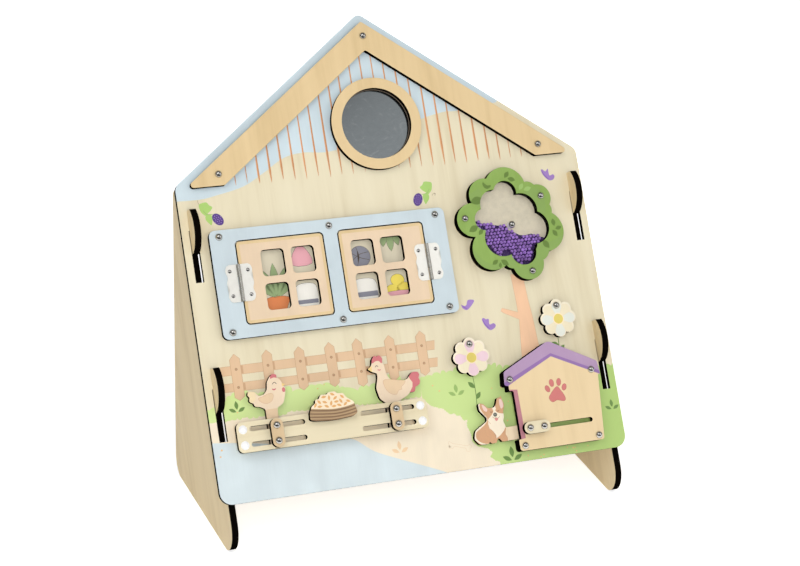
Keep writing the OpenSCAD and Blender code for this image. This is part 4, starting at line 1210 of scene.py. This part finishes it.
def print_bowl():
    """A wooden bowl heaped with grain."""
    bowl = partial(ink, node="feed_bowl")
    (u0, v0, _), (u1, v1, _) = place("feed_bowl")
    u, v = BOWL_AT
    rim = [(-24, 14), (-20.7, 13.1), (-9, 11.4), (1.7, 10.3), (12.8, 11), (22.2, 12.9), (28, 15)]
    top = smooth(moved(rim, u, v), False)
    bowl("grain_heap", "grain", [top + [(u1 + 3, v1 + 3), (u0 - 3, v1 + 3)]], 1, True)
    bands = []
    for drop, wide in ((1.6, 1.5), (4.6, 1.4), (7.5, 1.5), (10.2, 1.3)):
        flat = 1 - 0.03 * drop
        line = [(a, RIM_DROP + (b - RIM_DROP) * flat - drop) for a, b in rim]
        bands.append(stroke(moved(line, u, v), wide, 0.7))
    bowl("bowl_bands", "bowl_dark", bands, 1, True)
    oats = (
        (2, 24.3, -25), (-6.8, 22.7, 5), (-1.6, 21.3, 85), (4.3, 20.5, 35), (11.3, 21, -45),
        (-11.9, 18.4, -50), (-6.5, 17.7, -20), (-0.3, 15.9, 75), (5, 16.9, 5), (9.5, 17, -60),
        (16.9, 16.1, -25), (-16.1, 15.8, 60), (-12, 14.1, 0), (-5.1, 13.6, -30), (2.1, 12.9, 0),
        (7.3, 13.3, -25), (13.6, 13.7, 40)
    )
    bowl("oats", "oat", [leaf(u + a, v + b, 5.3, 2.3, angle) for a, b, angle in oats], 2, True)


def print_kennel():
    """The roof band, the door jamb and a paw."""
    kennel = partial(ink, node="kennel_front")
    shade_line = [(84, 69.6), (90.2, 75.2), (99.2, 79.6), (139.4, 98.3), (188.8, 74.3), (200, 68.6)]
    band_line = [(84, 77.4), (94.1, 81.9), (139.5, 101.5), (188.8, 77.9), (200, 72.4)]
    above = [(204, 110), (139, 136), (76, 104)]
    kennel("roof_band_shade", "band_dark", [shade_line + above], 1, True)
    kennel("roof_band", "band", [band_line + above], 2, True)
    jamb = [(90, 20.6), (98.7, 21.6), (98.6, 45.9), (98.2, 70), (90, 71)]
    kennel("jamb", "jamb", [jamb], 1, True)
    pad = smooth([
        (139.7, 67.4), (143, 64.7), (147.2, 56.4), (145.7, 52.8), (138.6, 54.5), (133.4, 53.2),
        (130.5, 56.3), (131.7, 60)
    ])
    toes = [
        oval(130.1, 66.7, 2.2, 3.4, 22), oval(135.3, 71.9, 2.3, 3.6, 6),
        oval(143.1, 71.9, 2.2, 3.6, -10), oval(148, 66.3, 2.2, 3.3, -24)
    ]
    kennel("paw", "paw", [pad] + toes, 1, line="paw_line")


def print_dog():
    """A tan puppy with a light blaze, muzzle and chest; its bar stays bare wood."""
    dog = partial(ink, node="dog", by=middle("dog_knob"))
    dog("dog_coat", "tan", [[
        (-70, -14), (-70, 40), (-20, 42), (-23, 24), (-27, 12), (-29.7, 5.1), (-28.2, 3.8),
        (-29.7, -1.8), (-28.3, -5.9), (-28.5, -14)
    ]], 1, True)
    dog("dog_rim", "cream", [stroke([
        (-51.8, 31.5), (-52.8, 27.7), (-51.7, 23.6), (-49.4, 19.3), (-47.2, 16.1), (-47.5, 13.6),
        (-50.5, 10.4), (-55.1, 7.4), (-59.8, 4.4), (-61.4, 0.7), (-61, -3.3), (-57.6, -7),
        (-52.6, -9.4), (-49, -9.8)
    ], 1.9, 0.7)], 2, True)
    dog("dog_chest", "cream", [[
        (-39.5, 24.7), (-36, 27), (-35.3, 24), (-36.4, 22.3), (-35.1, 20.3), (-32.6, 19.1),
        (-29.2, 18.4), (-26.6, 17.6), (-27.6, 10.5), (-27.6, 6.6), (-28.3, 5.3), (-30.4, 1.9),
        (-34.8, -2.2), (-36.6, -3.4), (-39.9, -4.9), (-40, -1.8), (-42.5, 2.5), (-45.1, 5),
        (-46, 9.8), (-45.5, 14.3), (-41.3, 17.9), (-39.1, 20.5), (-38.4, 22.5)
    ]], 3, True)
    ears = [
        [(-49.5, 29.4), (-47.9, 28.9), (-45.9, 26.8), (-44.5, 24.1), (-45.6, 22.2), (-48, 23.5),
         (-49.1, 26.1)],
        [(-30.4, 32.4), (-28.6, 32.4), (-27.5, 29.8), (-27.4, 25.4), (-29.6, 23.2), (-30.6, 25.1),
         (-31, 28.1)]
    ]
    dog("dog_ears", "ear", [smooth(ear) for ear in ears], 3, True)
    dog("dog_nose", "nose", [oval(-37.2, 18.2, 2.0)], 4)
    dog("dog_nose_shine", "nose_light", [oval(-37.3, 18.3, 1.0)], 5)
    dog("dog_tongue", "tongue", [smooth([
        (-38.2, 14.4), (-36.6, 14.8), (-34.7, 14.1), (-35.5, 12.4), (-36.8, 11.8), (-37.9, 12.7)
    ])], 4)
    eyes = [
        [(-42, 21.7), (-40.8, 21), (-39.4, 21.7)], [(-35, 21.8), (-33.8, 21.2), (-32.2, 21.9)]
    ]
    mouth = [
        [(-40.3, 16.6), (-39.4, 15.4), (-37.8, 14.8), (-37, 15.7)],
        [(-37, 15.7), (-35.7, 14.6), (-33.9, 14.9), (-32.8, 16.2)]
    ]
    dog("dog_face", "face_line", strokes(0.6, 0.6, eyes) + strokes(0.35, 0.6, mouth), 5)
    lines = strokes(0.45, 0.5, [
        [(-49.8, 4.6), (-50.1, 0.6), (-49, -1.7), (-46.5, -3.1), (-45.5, -5.8)],
        [(-45.1, 5), (-42.5, 2.5), (-40, -1.8), (-39.9, -4.9)]
    ])
    lines += strokes(0.4, 0.5, [
        [(-28.6, 4.6), (-30.2, 1.9), (-34.8, -2.4), (-36.6, -3.6)],
        [(-28.3, 3.6), (-29.7, -1.8), (-28.3, -5.9), (-28.6, -8.6)]
    ])
    lines.append(stroke([(-45.6, 13), (-44.4, 11), (-43, 9.8)], 0.35, 0.5))
    dog("dog_lines", "wing_line", lines, 4)


for draw_picture in (
    clean_rings, print_house, print_ground, print_plants, print_fence, print_garlands,
    print_windows, print_crown, fill_beads, plate_hinges, print_flowers, print_hens, print_bowl,
    print_kennel, print_dog
):
    draw_picture()
